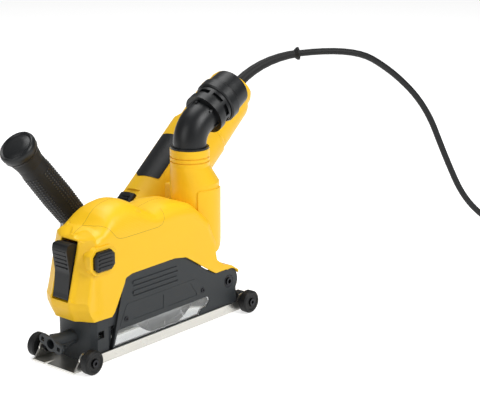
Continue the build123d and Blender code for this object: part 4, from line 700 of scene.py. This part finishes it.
class CHASER_OT_seams(bpy.types.Operator):
    """Lay the hood's moulded lines on its skin"""

    bl_idname = "chaser.seams"
    bl_label = "Hood seams"
    # Lay the hood's moulded lines on its skin, darkened as painted shade of their grooves

    def execute(self, context):
        skin = skin_of(bpy.data.objects["hood_near"])
        half = sizes().seam_width / 2
        for name, route in SEAMS.items():
            steps = []
            for a, b in zip(route, route[1:]):
                reach = math.hypot(b[0] - a[0], math.radians(b[1] - a[1]) * SEAM_ARM)
                count = max(2, int(reach / SEAM_STEP))
                steps += [(a[0] + (b[0] - a[0]) * k / count, a[1] + (b[1] - a[1]) * k / count)
                          for k in range(count)]
            spots = [on_hood(skin, *step) for step in steps + [route[-1]]]
            spots = [pair for pair in spots if pair[0] is not None]
            bm = bmesh.new()
            previous = None
            for k, (spot, normal) in enumerate(spots):
                ahead = (spots[min(k + 1, len(spots) - 1)][0] - spots[max(k - 1, 0)][0]).normalized()
                across = normal.cross(ahead).normalized()
                ring = [bm.verts.new(spot + across * half * u + normal * (half * v + SEAM_LIFT))
                        for u, v in SEAM_SECTION]
                if previous:
                    for i in range(4):
                        j = (i + 1) % 4
                        bm.faces.new((previous[i], previous[j], ring[j], ring[i]))
                else:
                    bm.faces.new(ring)
                previous = ring
            bm.faces.new(previous)
            # the lines wear the darkened shell, a painted shade of their grooves
            line = new_piece(name, bm, "seam_painted_shade", "upper")
        return {"FINISHED"}


# ---------------------------------------------------------------- stage
FLOOR_HALF, FLOOR_DROP = 9.0, 0.0001
FLOOR_GLOW = 0.62           # seen by camera, glossy and transmission rays alone, so that the floor reads white
ROOM_LIGHT = 0.22           # strength of the surroundings as a lamp
LAMPS = (
    ("key", (0.3, -2.0, 1.7), (0.0, 0.0, 0.1), 1.1, 44.0),
    ("left", (-2.2, 0.2, 1.1), (0.0, 0.0, 0.1), 1.4, 16.0),
    ("top", (0.3, 0.6, 2.2), (0.0, 0.0, 0.0), 1.4, 28.0),
)
CAMERA_SPOT, CAMERA_AIM, CAMERA_LENS = (-1.13530, -1.11050, 0.59320), (0.1619, 0.0, 0.1088), 110.39


def stage_material():
    """Pale floor that shows white to the camera and keeps the shadow."""
    material = bpy.data.materials.new("pale floor")
    material.use_nodes = True
    tree = material.node_tree
    tree.nodes.clear()
    matt = tree.nodes.new("ShaderNodeBsdfDiffuse")
    matt.inputs["Color"].default_value = (0.82, 0.82, 0.82, 1.0)
    glow = tree.nodes.new("ShaderNodeEmission")
    rays = tree.nodes.new("ShaderNodeLightPath")
    seen = maths(tree, "MAXIMUM", rays.outputs["Is Camera Ray"], rays.outputs["Is Glossy Ray"])
    seen = maths(tree, "MAXIMUM", seen, rays.outputs["Is Transmission Ray"])
    tree.links.new(maths(tree, "MULTIPLY", seen, FLOOR_GLOW), glow.inputs["Strength"])
    both = tree.nodes.new("ShaderNodeAddShader")
    out = tree.nodes.new("ShaderNodeOutputMaterial")
    tree.links.new(matt.outputs[0], both.inputs[0])
    tree.links.new(glow.outputs[0], both.inputs[1])
    tree.links.new(both.outputs[0], out.inputs["Surface"])
    return material


def add_lamp(name, spot, aim, size, power):
    lamp = bpy.data.lights.new(name, "AREA")
    lamp.size = size
    lamp.energy = power
    holder = bpy.data.objects.new(name, lamp)
    bpy.context.scene.collection.objects.link(holder)
    holder.location = spot
    holder.rotation_mode = "QUATERNION"
    holder.rotation_quaternion = (Vector(aim) - Vector(spot)).to_track_quat("-Z", "Y")


class CHASER_OT_stage(bpy.types.Operator):
    """Set the floor, the lamps, the pale surroundings and the camera"""

    bl_idname = "chaser.stage"
    bl_label = "Stage"

    def execute(self, context):
        scene = bpy.context.scene
        bm = bmesh.new()
        bmesh.ops.create_grid(bm, x_segments=1, y_segments=1, size=FLOOR_HALF)
        bmesh.ops.translate(bm, verts=bm.verts, vec=(0.0, 0.0, GROUND - FLOOR_DROP))
        mesh = bpy.data.meshes.new("floor")
        bm.to_mesh(mesh)
        bm.free()
        floor = bpy.data.objects.new("floor", mesh)
        scene.collection.objects.link(floor)
        mesh.materials.append(stage_material())

        world = bpy.data.worlds.new("pale room")
        scene.world = world
        world.use_nodes = True
        tree = world.node_tree
        tree.nodes.clear()
        soft = tree.nodes.new("ShaderNodeBackground")
        rays = tree.nodes.new("ShaderNodeLightPath")
        out = tree.nodes.new("ShaderNodeOutputWorld")
        soft.inputs["Color"].default_value = (1.0, 1.0, 1.0, 1.0)
        seen = maths(tree, "MAXIMUM", rays.outputs["Is Camera Ray"], rays.outputs["Is Transmission Ray"])
        shown = maths(tree, "MULTIPLY", seen, 1.0 - ROOM_LIGHT)
        tree.links.new(maths(tree, "ADD", shown, ROOM_LIGHT), soft.inputs["Strength"])
        tree.links.new(soft.outputs[0], out.inputs["Surface"])

        for lamp in LAMPS:
            add_lamp(*lamp)

        camera = bpy.data.cameras.new("camera")
        camera.sensor_width = 36.0
        camera.lens = CAMERA_LENS
        holder = bpy.data.objects.new("camera", camera)
        scene.collection.objects.link(holder)
        holder.location = CAMERA_SPOT
        holder.rotation_mode = "QUATERNION"
        holder.rotation_quaternion = (Vector(CAMERA_AIM) - holder.location).to_track_quat("-Z", "Y")
        scene.camera = holder
        scene.view_settings.view_transform = "Standard"
        return {"FINISHED"}


class CHASER_PT_pieces(bpy.types.Panel):
    """Shows the wall chaser's sizes, colours and steps"""

    bl_label = "Wall chaser"
    bl_space_type = "VIEW_3D"
    bl_region_type = "UI"
    bl_category = "Wall chaser"

    def draw(self, context):
        for group in (context.scene.chaser_sizes, context.scene.chaser_colours):
            box = self.layout.box()
            for name in group.__annotations__:
                box.prop(group, name)
        for operator in OPERATORS:
            self.layout.operator(operator.bl_idname)


OPERATORS = (CHASER_OT_stage, CHASER_OT_finishes, CHASER_OT_cord, CHASER_OT_grip, CHASER_OT_hood, CHASER_OT_lips,
             CHASER_OT_seams)
CLASSES = (ChaserSizes, ChaserColours, *OPERATORS, CHASER_PT_pieces)


def register():
    for item in CLASSES:
        bpy.utils.register_class(item)
    bpy.types.Scene.chaser_sizes = bpy.props.PointerProperty(type=ChaserSizes)
    bpy.types.Scene.chaser_colours = bpy.props.PointerProperty(type=ChaserColours)


def unregister():
    del bpy.types.Scene.chaser_colours
    del bpy.types.Scene.chaser_sizes
    for item in reversed(CLASSES):
        bpy.utils.unregister_class(item)


def main():
    register()
    for operator in OPERATORS:
        group, name = operator.bl_idname.split(".")
        getattr(getattr(bpy.ops, group), name)()


if __name__ == "__main__":
    main()
